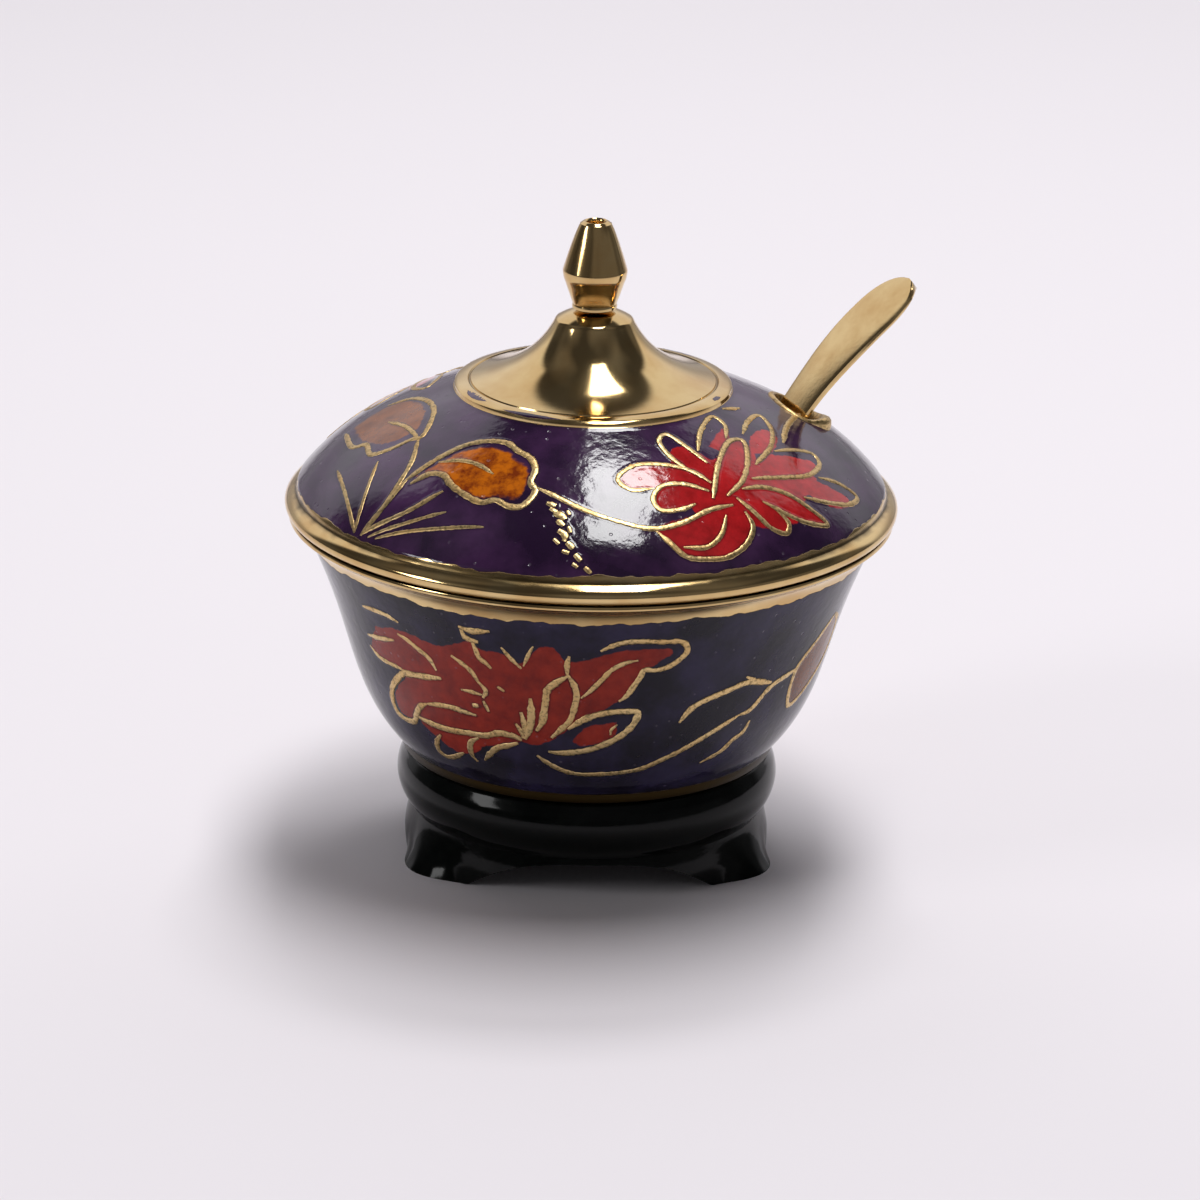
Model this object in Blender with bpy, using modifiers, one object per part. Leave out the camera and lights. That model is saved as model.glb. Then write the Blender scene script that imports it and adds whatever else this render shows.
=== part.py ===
"""Enamelled brass jar with a lifting lid, a turned finial and a spoon, on a lacquered wooden stand.

Metres, +Z up. The origin is on the jar's axis at floor level. The jar's front faces -Y, and the spoon
leans out to the back right, between +X and +Y.
"""

import math

import bmesh
import bpy
from mathutils import Matrix, Vector

# Clearances between pieces
SEAT_GAP = 0.0003
SKIRT_CLEARANCE = 0.0004
SPOON_FLOOR_GAP = 0.0005
HOLE_SIDE_CLEARANCE = 0.00155
HOLE_FACE_CLEARANCE = 0.0024

# Bowl: a foot ring, a side that swells and then flares, and a rim that turns out
BOWL_FOOT_RADIUS = 0.0251
BOWL_FOOT_HEIGHT = 0.0015
BOWL_FOOT_RING = 0.0022
BOWL_FOOT_RECESS = 0.0009
BOWL_SIDE_STEP = 0.0004
BOWL_SIDE_HEIGHT = 0.0274
BOWL_SIDE_FLARE = 0.0119
BOWL_SWELL = 1.19
BOWL_SWELL_FADE = 2.7
BOWL_RIM_FLARE = 0.0031
BOWL_RIM_RISE = 0.0032
BOWL_RIM_EDGE = 0.0007
BOWL_WALL = 0.0014

# Wooden stand: a round collar, a neck and an apron that spreads into three feet between arches
STAND_HEIGHT = 0.0138
STAND_TOP_INSET = 0.0004
STAND_EDGE_ROUND = 0.0005
COLLAR_BULGE = 0.0010
COLLAR_WIDEST_HEIGHT = 0.0101
NECK_DEPTH = 0.0018
NECK_HEIGHT = 0.0057
APRON_SPREAD = 0.0009
TOE_FLARE = 0.0026
STAND_WALL = 0.0042
STAND_FLOOR = 0.0026
ARCH_HEIGHT = 0.0050
LEG_COUNT = 3
LEG_SPAN = math.radians(38.0)
LEG_TURN = math.radians(-13.0)

# Lid: an edge band, a groove and a dome
LID_OVERHANG = 0.0005
LID_BAND_HEIGHT = 0.0018
LID_GROOVE_DEPTH = 0.0014
LID_GROOVE_HEIGHT = 0.0016
LID_CROWN_SETBACK = 0.0018
LID_CROWN_HEIGHT = 0.0133
LID_CROWN_CONE = 0.69
LID_CROWN_POWER = 4.0
LID_WALL = 0.0014
LID_SKIRT_DEPTH = 0.0022

# Bell-shaped cap in the middle of the lid, with a flange round its foot
FLANGE_RADIUS = 0.0185
FLANGE_STEP = 0.0004
FLANGE_RISE = 0.0007
FLANGE_WIDTH = 0.0020
FLANGE_GROOVE = 0.00022
CAP_SHOULDER_RADIUS = 0.0052
CAP_HEIGHT = 0.0090
CAP_TOP_RISE = 0.0012
CAP_ROOF = 0.0006

# Raised lip of the spoon's hole
HOLE_DISTANCE = 0.0279
LIP_WIDTH = 0.0011
LIP_RISE = 0.0004
LIP_ROOT = 0.0009

# Finial
FINIAL_BASE_RADIUS = 0.0028
FINIAL_RIDGE_RADIUS = 0.0043
FINIAL_TOP_RADIUS = 0.0021
FINIAL_RIDGE_HEIGHT = 0.0053
FINIAL_HEIGHT = 0.0120
FINIAL_EDGE = 0.0003
FINIAL_BORE_RADIUS = 0.0013
FINIAL_BORE_DEPTH = 0.0030

# Spoon: a straight shank in the jar, and a handle that curves over outside it
SPOON_AZIMUTH = math.radians(27.5)
SPOON_LEAN = math.radians(57.5)
SPOON_TIP_LEAN = math.radians(37.5)
SPOON_ROLL = math.radians(10.0)
SPOON_OUT_LENGTH = 0.0235
SPOON_OFF_CENTRE = 0.0005
SPOON_BOWL_LENGTH = 0.0170
SPOON_BOWL_WIDTH = 0.0120
SPOON_BOWL_DEPTH = 0.0030
SPOON_SHANK_WIDTH = 0.0036
SPOON_HOLE_WIDTH = 0.0059
SPOON_HANDLE_WIDTH = 0.0094
SPOON_HANDLE_END = 0.0075
SPOON_BLUNT_WIDTH = 0.0012
SPOON_EDGE = 0.0009
SPOON_THICKNESS = 0.0017
SPOON_LANES = (-1.0, -0.5, 0.0, 0.5, 1.0)

# Facets
TURNED_STEPS = 52
STAND_STEPS = 60
FINIAL_STEPS = 24
HOLE_STEPS = 28
SIDE_POINTS = 9
CAP_POINTS = 7
ARCH_POINTS = 10
SHANK_SECTIONS = 22
HANDLE_SECTIONS = 10
MERGE_DISTANCE = 0.00001
SHARP_ANGLE = math.radians(35.0)

# Radii that follow from the sizes above
BOWL_LOWER_RADIUS = BOWL_FOOT_RADIUS + BOWL_SIDE_STEP
BOWL_UPPER_RADIUS = BOWL_LOWER_RADIUS + BOWL_SIDE_FLARE
BOWL_RIM_RADIUS = BOWL_UPPER_RADIUS + BOWL_RIM_FLARE
STAND_TOP_RADIUS = BOWL_FOOT_RADIUS - STAND_TOP_INSET
COLLAR_RADIUS = STAND_TOP_RADIUS + COLLAR_BULGE
NECK_RADIUS = COLLAR_RADIUS - NECK_DEPTH
SOLE_RADIUS = NECK_RADIUS + APRON_SPREAD
STAND_INNER_RADIUS = SOLE_RADIUS - STAND_WALL
ARCH_HALF_WIDTH = SOLE_RADIUS * math.sin(math.pi / LEG_COUNT - LEG_SPAN / 2)
LID_RADIUS = BOWL_RIM_RADIUS + LID_OVERHANG
LID_GROOVE_RADIUS = LID_RADIUS - LID_GROOVE_DEPTH
LID_CROWN_RADIUS = LID_RADIUS - LID_CROWN_SETBACK
LID_SKIRT_RADIUS = BOWL_UPPER_RADIUS - BOWL_WALL - SKIRT_CLEARANCE
FLANGE_GROOVE_RADIUS = FLANGE_RADIUS - FLANGE_WIDTH
HOLE_HALF_LENGTH = SPOON_HOLE_WIDTH / 2 + HOLE_SIDE_CLEARANCE
HOLE_HALF_WIDTH = SPOON_THICKNESS / 2 + HOLE_FACE_CLEARANCE

# Heights that follow from the sizes above
BOWL_BASE = STAND_HEIGHT + SEAT_GAP
BOWL_FLOOR = BOWL_BASE + BOWL_FOOT_RECESS + BOWL_WALL
BOWL_SIDE_BASE = BOWL_BASE + BOWL_FOOT_HEIGHT
BOWL_SIDE_TOP = BOWL_SIDE_BASE + BOWL_SIDE_HEIGHT
BOWL_TOP = BOWL_SIDE_TOP + BOWL_RIM_RISE + BOWL_RIM_EDGE
LID_BASE = BOWL_TOP + SEAT_GAP
LID_BAND_TOP = LID_BASE + LID_BAND_HEIGHT
LID_CROWN_BASE = LID_BAND_TOP + LID_GROOVE_HEIGHT
LID_CROWN_TOP = LID_CROWN_BASE + LID_CROWN_HEIGHT
CAP_BASE = LID_CROWN_TOP + FLANGE_STEP
CAP_SHOULDER = CAP_BASE + CAP_HEIGHT
CAP_TOP = CAP_SHOULDER + CAP_TOP_RISE
FINIAL_BASE = CAP_TOP + SEAT_GAP


def clear_scene():
    """Removes every object of the open scene."""
    for obj in list(bpy.data.objects):
        bpy.data.objects.remove(obj, do_unlink=True)


def new_collection(name):
    """A collection of this name, linked to the scene."""
    collection = bpy.data.collections.new(name)
    bpy.context.scene.collection.children.link(collection)
    return collection


def new_material(name, colour, metallic, roughness):
    """A plain Principled BSDF material."""
    material = bpy.data.materials.new(name)
    material.use_nodes = True
    shader = material.node_tree.nodes["Principled BSDF"]
    shader.inputs["Base Color"].default_value = (*colour, 1.0)
    shader.inputs["Metallic"].default_value = metallic
    shader.inputs["Roughness"].default_value = roughness
    return material


def object_from_bmesh(name, shape, collection, material=None):
    """An object that holds the bmesh, which is freed."""
    mesh = bpy.data.meshes.new(name)
    shape.to_mesh(mesh)
    shape.free()
    obj = bpy.data.objects.new(name, mesh)
    collection.objects.link(obj)
    if material:
        mesh.materials.append(material)
    return obj


def cutter_from_bmesh(name, shape, cutters):
    """A helper object that isn't part of the jar."""
    obj = object_from_bmesh(name, shape, cutters)
    obj.hide_render = True
    obj.display_type = "WIRE"
    return obj


def turned(name, profile, steps, collection, material):
    """A piece turned about Z from (radius, height) points that run from its top down its outer side."""
    shape = bmesh.new()
    points = [shape.verts.new((radius, 0.0, height)) for radius, height in profile]
    for first, second in zip(points, points[1:]):
        shape.edges.new((first, second))
    obj = object_from_bmesh(name, shape, collection, material)
    screw = obj.modifiers.new("turn", "SCREW")
    screw.axis = "Z"
    screw.angle = math.tau
    screw.steps = steps
    screw.render_steps = steps
    screw.use_merge_vertices = True
    screw.merge_threshold = MERGE_DISTANCE
    screw.use_smooth_shade = False
    apply_modifiers(obj)
    return obj


def apply_modifiers(obj):
    """Puts the result of the object's modifiers in its mesh."""
    graph = bpy.context.evaluated_depsgraph_get()
    mesh = bpy.data.meshes.new_from_object(obj.evaluated_get(graph))
    obj.modifiers.clear()
    obj.data = mesh


def boolean(obj, other, operation):
    """Joins another shape to the object or cuts it away."""
    modifier = obj.modifiers.new(operation.lower(), "BOOLEAN")
    modifier.operation = operation
    modifier.solver = "EXACT"
    modifier.object = other
    apply_modifiers(obj)


def shade_round(obj):
    """Smooth shading, apart from sharp edges."""
    obj.data.shade_smooth()
    obj.data.set_sharp_from_angle(angle=SHARP_ANGLE)


def between(low, high, share):
    """The value at a share of the way from low to high."""
    return low + (high - low) * share


def eased(low, high, share):
    """A value that runs smoothly from low to high."""
    share = min(max(share, 0.0), 1.0)
    return between(low, high, share * share * (3.0 - 2.0 * share))


def inset(profile, wall):
    """An open profile that runs down the outer side, moved inwards by the wall, square to its own run."""
    moved = []
    for index, (radius, height) in enumerate(profile):
        before = Vector(profile[max(index - 1, 0)])
        after = Vector(profile[min(index + 1, len(profile) - 1)])
        run = (after - before).normalized()
        moved.append((radius + run.y * wall, height - run.x * wall))
    return moved


def bowl_outer_side():
    """The bowl's outer side, from its foot up: a quick swell that fades into a straight flare, and the rim."""
    points = []
    for index in range(SIDE_POINTS + 1):
        up = index / SIDE_POINTS
        share = up + BOWL_SWELL * up * (1.0 - up) ** BOWL_SWELL_FADE
        points.append((BOWL_LOWER_RADIUS + BOWL_SIDE_FLARE * share, BOWL_SIDE_BASE + BOWL_SIDE_HEIGHT * up))
    for out, up in ((0.14, 0.34), (0.48, 0.74), (1.0, 1.0)):
        points.append((BOWL_UPPER_RADIUS + BOWL_RIM_FLARE * out, BOWL_SIDE_TOP + BOWL_RIM_RISE * up))
    return points


def crown_point(share):
    """A point of the lid's dome, a cone that rounds over: 0 at the cap's flange, 1 at the groove."""
    drop = LID_CROWN_CONE * share + (1.0 - LID_CROWN_CONE) * share**LID_CROWN_POWER
    return between(FLANGE_RADIUS, LID_CROWN_RADIUS, share), LID_CROWN_TOP - LID_CROWN_HEIGHT * drop


def lid_crown():
    """The dome's outer side, from the cap's flange down, with its points closer together at the edge."""
    return [crown_point(math.sin(math.pi / 2 * index / SIDE_POINTS)) for index in range(SIDE_POINTS + 1)]


def cap_side():
    """The cap's bell-shaped side, a cubic curve from its shoulder down to the groove in its flange."""
    top = Vector((CAP_SHOULDER_RADIUS, CAP_SHOULDER))
    foot = Vector((FLANGE_GROOVE_RADIUS, CAP_BASE + FLANGE_RISE))
    span = foot - top
    first = top + Vector((span.x * 0.17, span.y * 0.45))
    second = top + Vector((span.x * 0.42, span.y * 0.77))
    points = []
    for index in range(CAP_POINTS):
        share = index / CAP_POINTS
        rest = 1.0 - share
        start = top * rest**3 + first * 3 * rest**2 * share
        end = second * 3 * rest * share**2 + foot * share**3
        points.append(tuple(start + end))
    return points


def build_bowl(collection, material):
    """A thin bowl on a foot ring, with a hollow under its foot and a flared rim."""
    outer = bowl_outer_side()[::-1]
    wall = inset(outer, BOWL_WALL)[::-1]
    inner = [point for point in wall[:-1:2] if point[1] > BOWL_FLOOR + BOWL_WALL / 2]
    ring_inner = BOWL_FOOT_RADIUS - BOWL_FOOT_RING
    recess = BOWL_BASE + BOWL_FOOT_RECESS
    edge = BOWL_RIM_EDGE / 2
    profile = [(0.0, BOWL_FLOOR), (ring_inner, BOWL_FLOOR)]
    profile += inner
    profile += [(wall[-1][0], BOWL_TOP), (BOWL_RIM_RADIUS - edge / 2, BOWL_TOP), (BOWL_RIM_RADIUS, BOWL_TOP - edge)]
    profile += outer
    profile += [
        (BOWL_FOOT_RADIUS, BOWL_SIDE_BASE - BOWL_SIDE_STEP / 2),
        (BOWL_FOOT_RADIUS, BOWL_BASE),
        (ring_inner, BOWL_BASE),
        (ring_inner, recess),
        (0.0, recess),
    ]
    bowl = turned("bowl", profile, TURNED_STEPS, collection, material)
    shade_round(bowl)


def build_stand(collection, cutters, material):
    """A turned collar and apron that arches cut into spreading feet."""
    shoulder = (COLLAR_WIDEST_HEIGHT + STAND_HEIGHT) / 2
    hollow = (COLLAR_WIDEST_HEIGHT + NECK_HEIGHT) / 2
    ceiling = STAND_HEIGHT - STAND_FLOOR
    profile = [
        (0.0, STAND_HEIGHT),
        (STAND_TOP_RADIUS - STAND_EDGE_ROUND, STAND_HEIGHT),
        (STAND_TOP_RADIUS, STAND_HEIGHT - STAND_EDGE_ROUND),
        (between(STAND_TOP_RADIUS, COLLAR_RADIUS, 0.75), shoulder),
        (COLLAR_RADIUS, COLLAR_WIDEST_HEIGHT),
        (between(COLLAR_RADIUS, NECK_RADIUS, 0.3), hollow),
        (NECK_RADIUS, NECK_HEIGHT),
        (between(NECK_RADIUS, SOLE_RADIUS, 0.45), NECK_HEIGHT * 0.72),
        (between(NECK_RADIUS, SOLE_RADIUS, 0.85), NECK_HEIGHT * 0.4),
        (SOLE_RADIUS, 0.0),
        (STAND_INNER_RADIUS, 0.0),
        (STAND_INNER_RADIUS, ceiling),
        (0.0, ceiling),
    ]
    stand = turned("stand", profile, STAND_STEPS, collection, material)
    for vertex in stand.data.vertices:
        spread_toe(vertex)
    for index in range(LEG_COUNT):
        turn = LEG_TURN + math.tau * (index + 0.5) / LEG_COUNT
        boolean(stand, arch_cutter(f"arch_{index + 1}", turn, cutters), "DIFFERENCE")
    shade_round(stand)


def spread_toe(vertex):
    """Draws the apron's outer wall outwards below the neck, most at the middle of each foot."""
    x, y, z = vertex.co
    radius = math.hypot(x, y)
    pitch = math.tau / LEG_COUNT
    off_leg = (math.atan2(y, x) - LEG_TURN + pitch / 2) % pitch - pitch / 2
    is_outer = radius > (STAND_INNER_RADIUS + NECK_RADIUS) / 2
    if not is_outer or z > NECK_HEIGHT or abs(off_leg) >= LEG_SPAN / 2:
        return
    spread = math.cos(math.pi * off_leg / LEG_SPAN) ** 1.6
    down = (1.0 - z / NECK_HEIGHT) ** 2
    factor = 1.0 + TOE_FLARE * spread * down / radius
    vertex.co = (x * factor, y * factor, z)


def arch_cutter(name, turn, cutters):
    """A bar with the arch's outline that runs out through the apron."""
    depth = SOLE_RADIUS + 2 * TOE_FLARE
    outline = [(-ARCH_HALF_WIDTH, -ARCH_HEIGHT), (ARCH_HALF_WIDTH, -ARCH_HEIGHT)]
    for index in range(2 * ARCH_POINTS + 1):
        across = math.cos(math.pi * index / (2 * ARCH_POINTS))
        outline.append((ARCH_HALF_WIDTH * across, ARCH_HEIGHT * (1.0 - abs(across) ** 3)))
    shape = bmesh.new()
    face = shape.faces.new([shape.verts.new((depth / 4, across, height)) for across, height in outline])
    extruded = bmesh.ops.extrude_face_region(shape, geom=[face])
    moved = [item for item in extruded["geom"] if isinstance(item, bmesh.types.BMVert)]
    bmesh.ops.translate(shape, verts=moved, vec=(depth, 0.0, 0.0))
    bmesh.ops.rotate(shape, verts=shape.verts, matrix=Matrix.Rotation(turn, 3, "Z"))
    bmesh.ops.recalc_face_normals(shape, faces=shape.faces)
    return cutter_from_bmesh(name, shape, cutters)


def lid_profile():
    """The lid from its cap's middle, down over the dome and band, and back up inside."""
    rise = CAP_BASE + FLANGE_RISE
    crown = lid_crown()
    ceiling = inset(crown, LID_WALL)
    skirt_inner = LID_SKIRT_RADIUS - LID_WALL
    cavity = [point for point in ceiling[::-2] if point[0] < skirt_inner]
    profile = [
        (0.0, CAP_TOP),
        (CAP_SHOULDER_RADIUS * 0.6, CAP_TOP - CAP_TOP_RISE * 0.12),
        (CAP_SHOULDER_RADIUS * 0.88, CAP_TOP - CAP_TOP_RISE * 0.5),
    ]
    profile += cap_side()
    profile += [
        (FLANGE_GROOVE_RADIUS - FLANGE_GROOVE, rise),
        (FLANGE_GROOVE_RADIUS, rise - FLANGE_GROOVE),
        (FLANGE_GROOVE_RADIUS + FLANGE_GROOVE, rise),
        (FLANGE_RADIUS - FLANGE_STEP / 2, CAP_BASE + FLANGE_STEP / 4),
        (FLANGE_RADIUS, CAP_BASE - FLANGE_STEP / 4),
    ]
    profile += crown
    profile += [
        (LID_GROOVE_RADIUS, between(LID_BAND_TOP, LID_CROWN_BASE, 0.3)),
        (between(LID_GROOVE_RADIUS, LID_RADIUS, 0.5), LID_BAND_TOP),
        (LID_RADIUS, between(LID_BASE, LID_BAND_TOP, 0.62)),
        (LID_RADIUS - LID_OVERHANG / 5, between(LID_BASE, LID_BAND_TOP, 0.3)),
        (LID_RADIUS - LID_OVERHANG, LID_BASE),
        (LID_SKIRT_RADIUS, LID_BASE),
        (LID_SKIRT_RADIUS, LID_BASE - LID_SKIRT_DEPTH),
        (skirt_inner, LID_BASE - LID_SKIRT_DEPTH),
        (skirt_inner, LID_BAND_TOP),
    ]
    profile += cavity
    profile += [(0.0, cavity[-1][1] + CAP_ROOF)]
    return profile


def build_lid(collection, cutters, material):
    """The domed lid with its cap, a locating skirt inside its edge and the spoon's hole."""
    lid = turned("lid", lid_profile(), TURNED_STEPS, collection, material)
    place = hole_frame()
    lip_x = HOLE_HALF_WIDTH + LIP_WIDTH
    lip_y = HOLE_HALF_LENGTH + LIP_WIDTH
    boolean(lid, oval("hole_lip", lip_x, lip_y, -LIP_ROOT, LIP_RISE, place, cutters), "UNION")
    reach = 4 * LID_WALL
    boolean(lid, oval("hole", HOLE_HALF_WIDTH, HOLE_HALF_LENGTH, -reach, reach, place, cutters), "DIFFERENCE")
    shade_round(lid)


def dome_at_hole():
    """The dome's height at the hole's centre, and the angle at which it falls away there."""
    share = (HOLE_DISTANCE - FLANGE_RADIUS) / (LID_CROWN_RADIUS - FLANGE_RADIUS)
    radius, height = crown_point(share)
    further, lower = crown_point(share + 0.01)
    return height, math.atan2(height - lower, further - radius)


def hole_frame():
    """The hole's place: X outwards along the dome, Y around it and Z square to it."""
    height, fall = dome_at_hole()
    centre = Matrix.Translation((HOLE_DISTANCE, 0.0, height))
    return Matrix.Rotation(SPOON_AZIMUTH, 4, "Z") @ centre @ Matrix.Rotation(fall, 4, "Y")


def oval(name, half_x, half_y, low, high, place, cutters):
    """An oval prism between two heights of the given frame."""
    shape = bmesh.new()
    bmesh.ops.create_cone(
        shape,
        cap_ends=True,
        segments=HOLE_STEPS,
        radius1=1.0,
        radius2=1.0,
        depth=high - low,
    )
    bmesh.ops.scale(shape, vec=(half_x, half_y, 1.0), verts=shape.verts)
    bmesh.ops.translate(shape, vec=(0.0, 0.0, (low + high) / 2), verts=shape.verts)
    bmesh.ops.transform(shape, matrix=place, verts=shape.verts)
    return cutter_from_bmesh(name, shape, cutters)


def build_finial(collection, material):
    """A turned knob: two cones that meet at a ridge, with a small blind hole in its top."""
    ridge = FINIAL_BASE + FINIAL_RIDGE_HEIGHT
    top = FINIAL_BASE + FINIAL_HEIGHT
    bore_end = top - FINIAL_BORE_DEPTH
    profile = [
        (0.0, bore_end),
        (FINIAL_BORE_RADIUS, bore_end),
        (FINIAL_BORE_RADIUS, top),
        (FINIAL_TOP_RADIUS - FINIAL_EDGE, top),
        (FINIAL_TOP_RADIUS, top - FINIAL_EDGE),
    ]
    for share in (0.25, 0.5, 0.72, 0.9):
        profile.append((between(FINIAL_TOP_RADIUS, FINIAL_RIDGE_RADIUS, share**0.93), between(top, ridge, share)))
    profile += [
        (FINIAL_RIDGE_RADIUS, ridge + FINIAL_EDGE * 0.7),
        (FINIAL_RIDGE_RADIUS - FINIAL_EDGE / 3, ridge - FINIAL_EDGE),
        (between(FINIAL_BASE_RADIUS, FINIAL_RIDGE_RADIUS, 0.45), between(FINIAL_BASE, ridge, 0.5)),
        (FINIAL_BASE_RADIUS + FINIAL_EDGE / 3, between(FINIAL_BASE, ridge, 0.15)),
        (FINIAL_BASE_RADIUS, FINIAL_BASE + FINIAL_EDGE),
        (FINIAL_BASE_RADIUS - FINIAL_EDGE, FINIAL_BASE),
        (0.0, FINIAL_BASE),
    ]
    finial = turned("finial", profile, FINIAL_STEPS, collection, material)
    shade_round(finial)


def spoon_inside_length():
    """The spoon's length from its bowl's tip, just clear of the jar's floor, to the dome."""
    height, _ = dome_at_hole()
    low = BOWL_FLOOR + SPOON_FLOOR_GAP + SPOON_BOWL_DEPTH * 0.6
    return (height - low) / math.sin(SPOON_LEAN)


def spoon_line():
    """The spoon's middle line from its bowl's tip up: (point, direction, distance) in its own plane."""
    height, _ = dome_at_hole()
    inside = spoon_inside_length()
    mouth = Vector((HOLE_DISTANCE - SPOON_OFF_CENTRE, height))
    run = Vector((math.cos(SPOON_LEAN), math.sin(SPOON_LEAN)))
    line = []
    for index in range(SHANK_SECTIONS + 1):
        along = inside * index / SHANK_SECTIONS
        line.append((mouth + run * (along - inside), run, along))
    point = mouth
    pace = SPOON_OUT_LENGTH / HANDLE_SECTIONS
    for index in range(1, HANDLE_SECTIONS + 1):
        lean = between(SPOON_LEAN, SPOON_TIP_LEAN, (index - 0.5) / HANDLE_SECTIONS)
        run = Vector((math.cos(lean), math.sin(lean)))
        point = point + run * pace
        line.append((point, run, inside + pace * index))
    return line


def spoon_half_width(along):
    """Half the spoon's width at a distance from its bowl's tip."""
    inside = spoon_inside_length()
    shank = eased(SPOON_SHANK_WIDTH, SPOON_HOLE_WIDTH, (along / inside - 0.45) / 0.5)
    width = eased(shank, SPOON_HANDLE_WIDTH, (along - inside) / SPOON_OUT_LENGTH / 0.6)
    off_bowl = along / (SPOON_BOWL_LENGTH / 2) - 1.0
    if off_bowl < 1.0:
        bowl = SPOON_BOWL_WIDTH * math.sqrt(1.0 - off_bowl**2)
        width = bowl if off_bowl < 0.0 else max(width, bowl)
    past_end = (along - inside - SPOON_OUT_LENGTH) / SPOON_HANDLE_END + 1.0
    if past_end > 0.0:
        width *= math.sqrt(max(1.0 - past_end**2.4, 0.0))
    return max(width, SPOON_BLUNT_WIDTH) / 2


def spoon_section(point, run, along):
    """One closed section of the spoon: flat on top, or dished in its bowl, and rounded below."""
    half = spoon_half_width(along)
    roll = Matrix.Rotation(SPOON_ROLL, 3, Vector((run.x, 0.0, run.y)))
    side = roll @ Vector((0.0, 1.0, 0.0))
    up = roll @ Vector((-run.y, 0.0, run.x))
    dish = SPOON_BOWL_DEPTH * math.sin(math.pi * min(along / SPOON_BOWL_LENGTH, 1.0)) ** 0.8
    top = []
    bottom = []
    for lane in SPOON_LANES:
        bow = 1.0 - lane * lane
        upper = Vector((point.x, 0.0, point.y)) + side * half * lane - up * dish * bow
        top.append(upper)
        bottom.append(upper - up * between(SPOON_EDGE, SPOON_THICKNESS, bow))
    return top + bottom[::-1]


def build_spoon(collection, material):
    """A spoon lofted through its sections along its middle line."""
    place = Matrix.Rotation(SPOON_AZIMUTH, 3, "Z")
    shape = bmesh.new()
    rings = [
        [shape.verts.new(place @ corner) for corner in spoon_section(point, run, along)]
        for point, run, along in spoon_line()
    ]
    for first, second in zip(rings, rings[1:]):
        for index in range(len(first)):
            after = (index + 1) % len(first)
            shape.faces.new((first[index], first[after], second[after], second[index]))
    shape.faces.new(rings[0][::-1])
    shape.faces.new(rings[-1])
    bmesh.ops.recalc_face_normals(shape, faces=shape.faces)
    spoon = object_from_bmesh("spoon", shape, collection, material)
    shade_round(spoon)


def main():
    """Builds the jar."""
    clear_scene()
    jar = new_collection("enamelled_jar")
    cutters = new_collection("cutters")
    brass = new_material("polished_brass", (0.72, 0.50, 0.22), 1.0, 0.2)
    enamel = new_material("aubergine_enamel", (0.035, 0.014, 0.045), 0.0, 0.15)
    lacquer = new_material("black_lacquer", (0.008, 0.010, 0.009), 0.0, 0.15)
    build_stand(jar, cutters, lacquer)
    build_bowl(jar, enamel)
    build_lid(jar, cutters, enamel)
    build_finial(jar, brass)
    build_spoon(jar, brass)


main()
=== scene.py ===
"""Enamelled brass jar with a domed lid, a finial and a spoon, on a black lacquered stand.

Sizes in the tables are millimetres; meshes are metres. A bearing is an angle round the jar's axis in
degrees, 0 at the middle of the flowered side and growing to the right as one faces it.
"""

import math

import bmesh
import bpy
import numpy as np
from mathutils import Matrix, Vector
from mathutils.kdtree import KDTree


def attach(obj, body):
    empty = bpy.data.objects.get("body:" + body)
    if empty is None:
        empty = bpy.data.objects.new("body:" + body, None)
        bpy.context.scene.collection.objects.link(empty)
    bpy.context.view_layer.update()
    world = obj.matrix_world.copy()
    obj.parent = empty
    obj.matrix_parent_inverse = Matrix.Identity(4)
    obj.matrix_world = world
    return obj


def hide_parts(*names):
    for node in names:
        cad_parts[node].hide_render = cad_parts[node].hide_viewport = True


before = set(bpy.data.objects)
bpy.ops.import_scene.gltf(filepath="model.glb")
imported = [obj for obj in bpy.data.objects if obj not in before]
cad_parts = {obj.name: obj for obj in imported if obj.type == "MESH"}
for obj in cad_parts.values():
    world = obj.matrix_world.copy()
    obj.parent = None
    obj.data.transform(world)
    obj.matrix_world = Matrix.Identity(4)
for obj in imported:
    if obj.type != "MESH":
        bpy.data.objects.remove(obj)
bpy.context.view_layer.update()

bl_info = {
    "name": "Enamelled brass jar",
    "version": (1, 0, 0),
    "blender": (4, 5, 0),
    "location": "3D View > Sidebar > Jar",
    "description": "An enamelled brass jar with a spoon on a lacquered stand",
    "category": "Object",
}

MM = 0.001

# Direction of bearing 0, in degrees from +X
FACING = -75.0

# Edges that turn more than this stay sharp
SHARP_ANGLE = math.radians(32)

# Points round the turned pieces
ROUND_STEPS = 480
STAND_STEPS = 360
FINIAL_STEPS = 128
HOLE_STEPS = 64
LIP_STEPS = 96

# Distances that stand for no colour, no enamel and no line nearby
NO_COLOUR = -20.0
NO_ENAMEL = -4.0
NO_LINE = 6.0

# The stand: its top, the height of its apron, its hollow, and the direction of one leg in degrees
STAND_TOP = 13.8
APRON_TOP = 5.7
HOLLOW_TOP = 11.2
HOLLOW_RADIUS = 20.6
LEG_DIRECTION = -13.0
LEG_PITCH = math.tau / 3
TOE_HALF_ANGLE = math.radians(19.0)
TOE_REACH = 2.6
ARCH_HALF_WIDTH = 16.27
ARCH_HEIGHT = 5.0

# The bowl's side, the lid's dome and band, and the spoon's hole with its blob of solder
SIDE_BASE = 15.6
SIDE_TOP = 43.0
SIDE_BASE_RADIUS = 25.5
SIDE_SPREAD = 11.9
FLANGE_RADIUS = 18.5
CROWN_RADIUS = 39.2
CROWN_TOP = 63.9
CROWN_DROP = 13.3
HOLE_BEARING = 102.5
HOLE_DISTANCE = 27.9
HOLE_HALF = (3.25, 4.5)
BLOB_ANGLE = math.radians(335.0)
BAND_GROOVE = 49.75
BAND_SEAM = 47.1
FLANGE_STEP = 16.5

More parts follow.
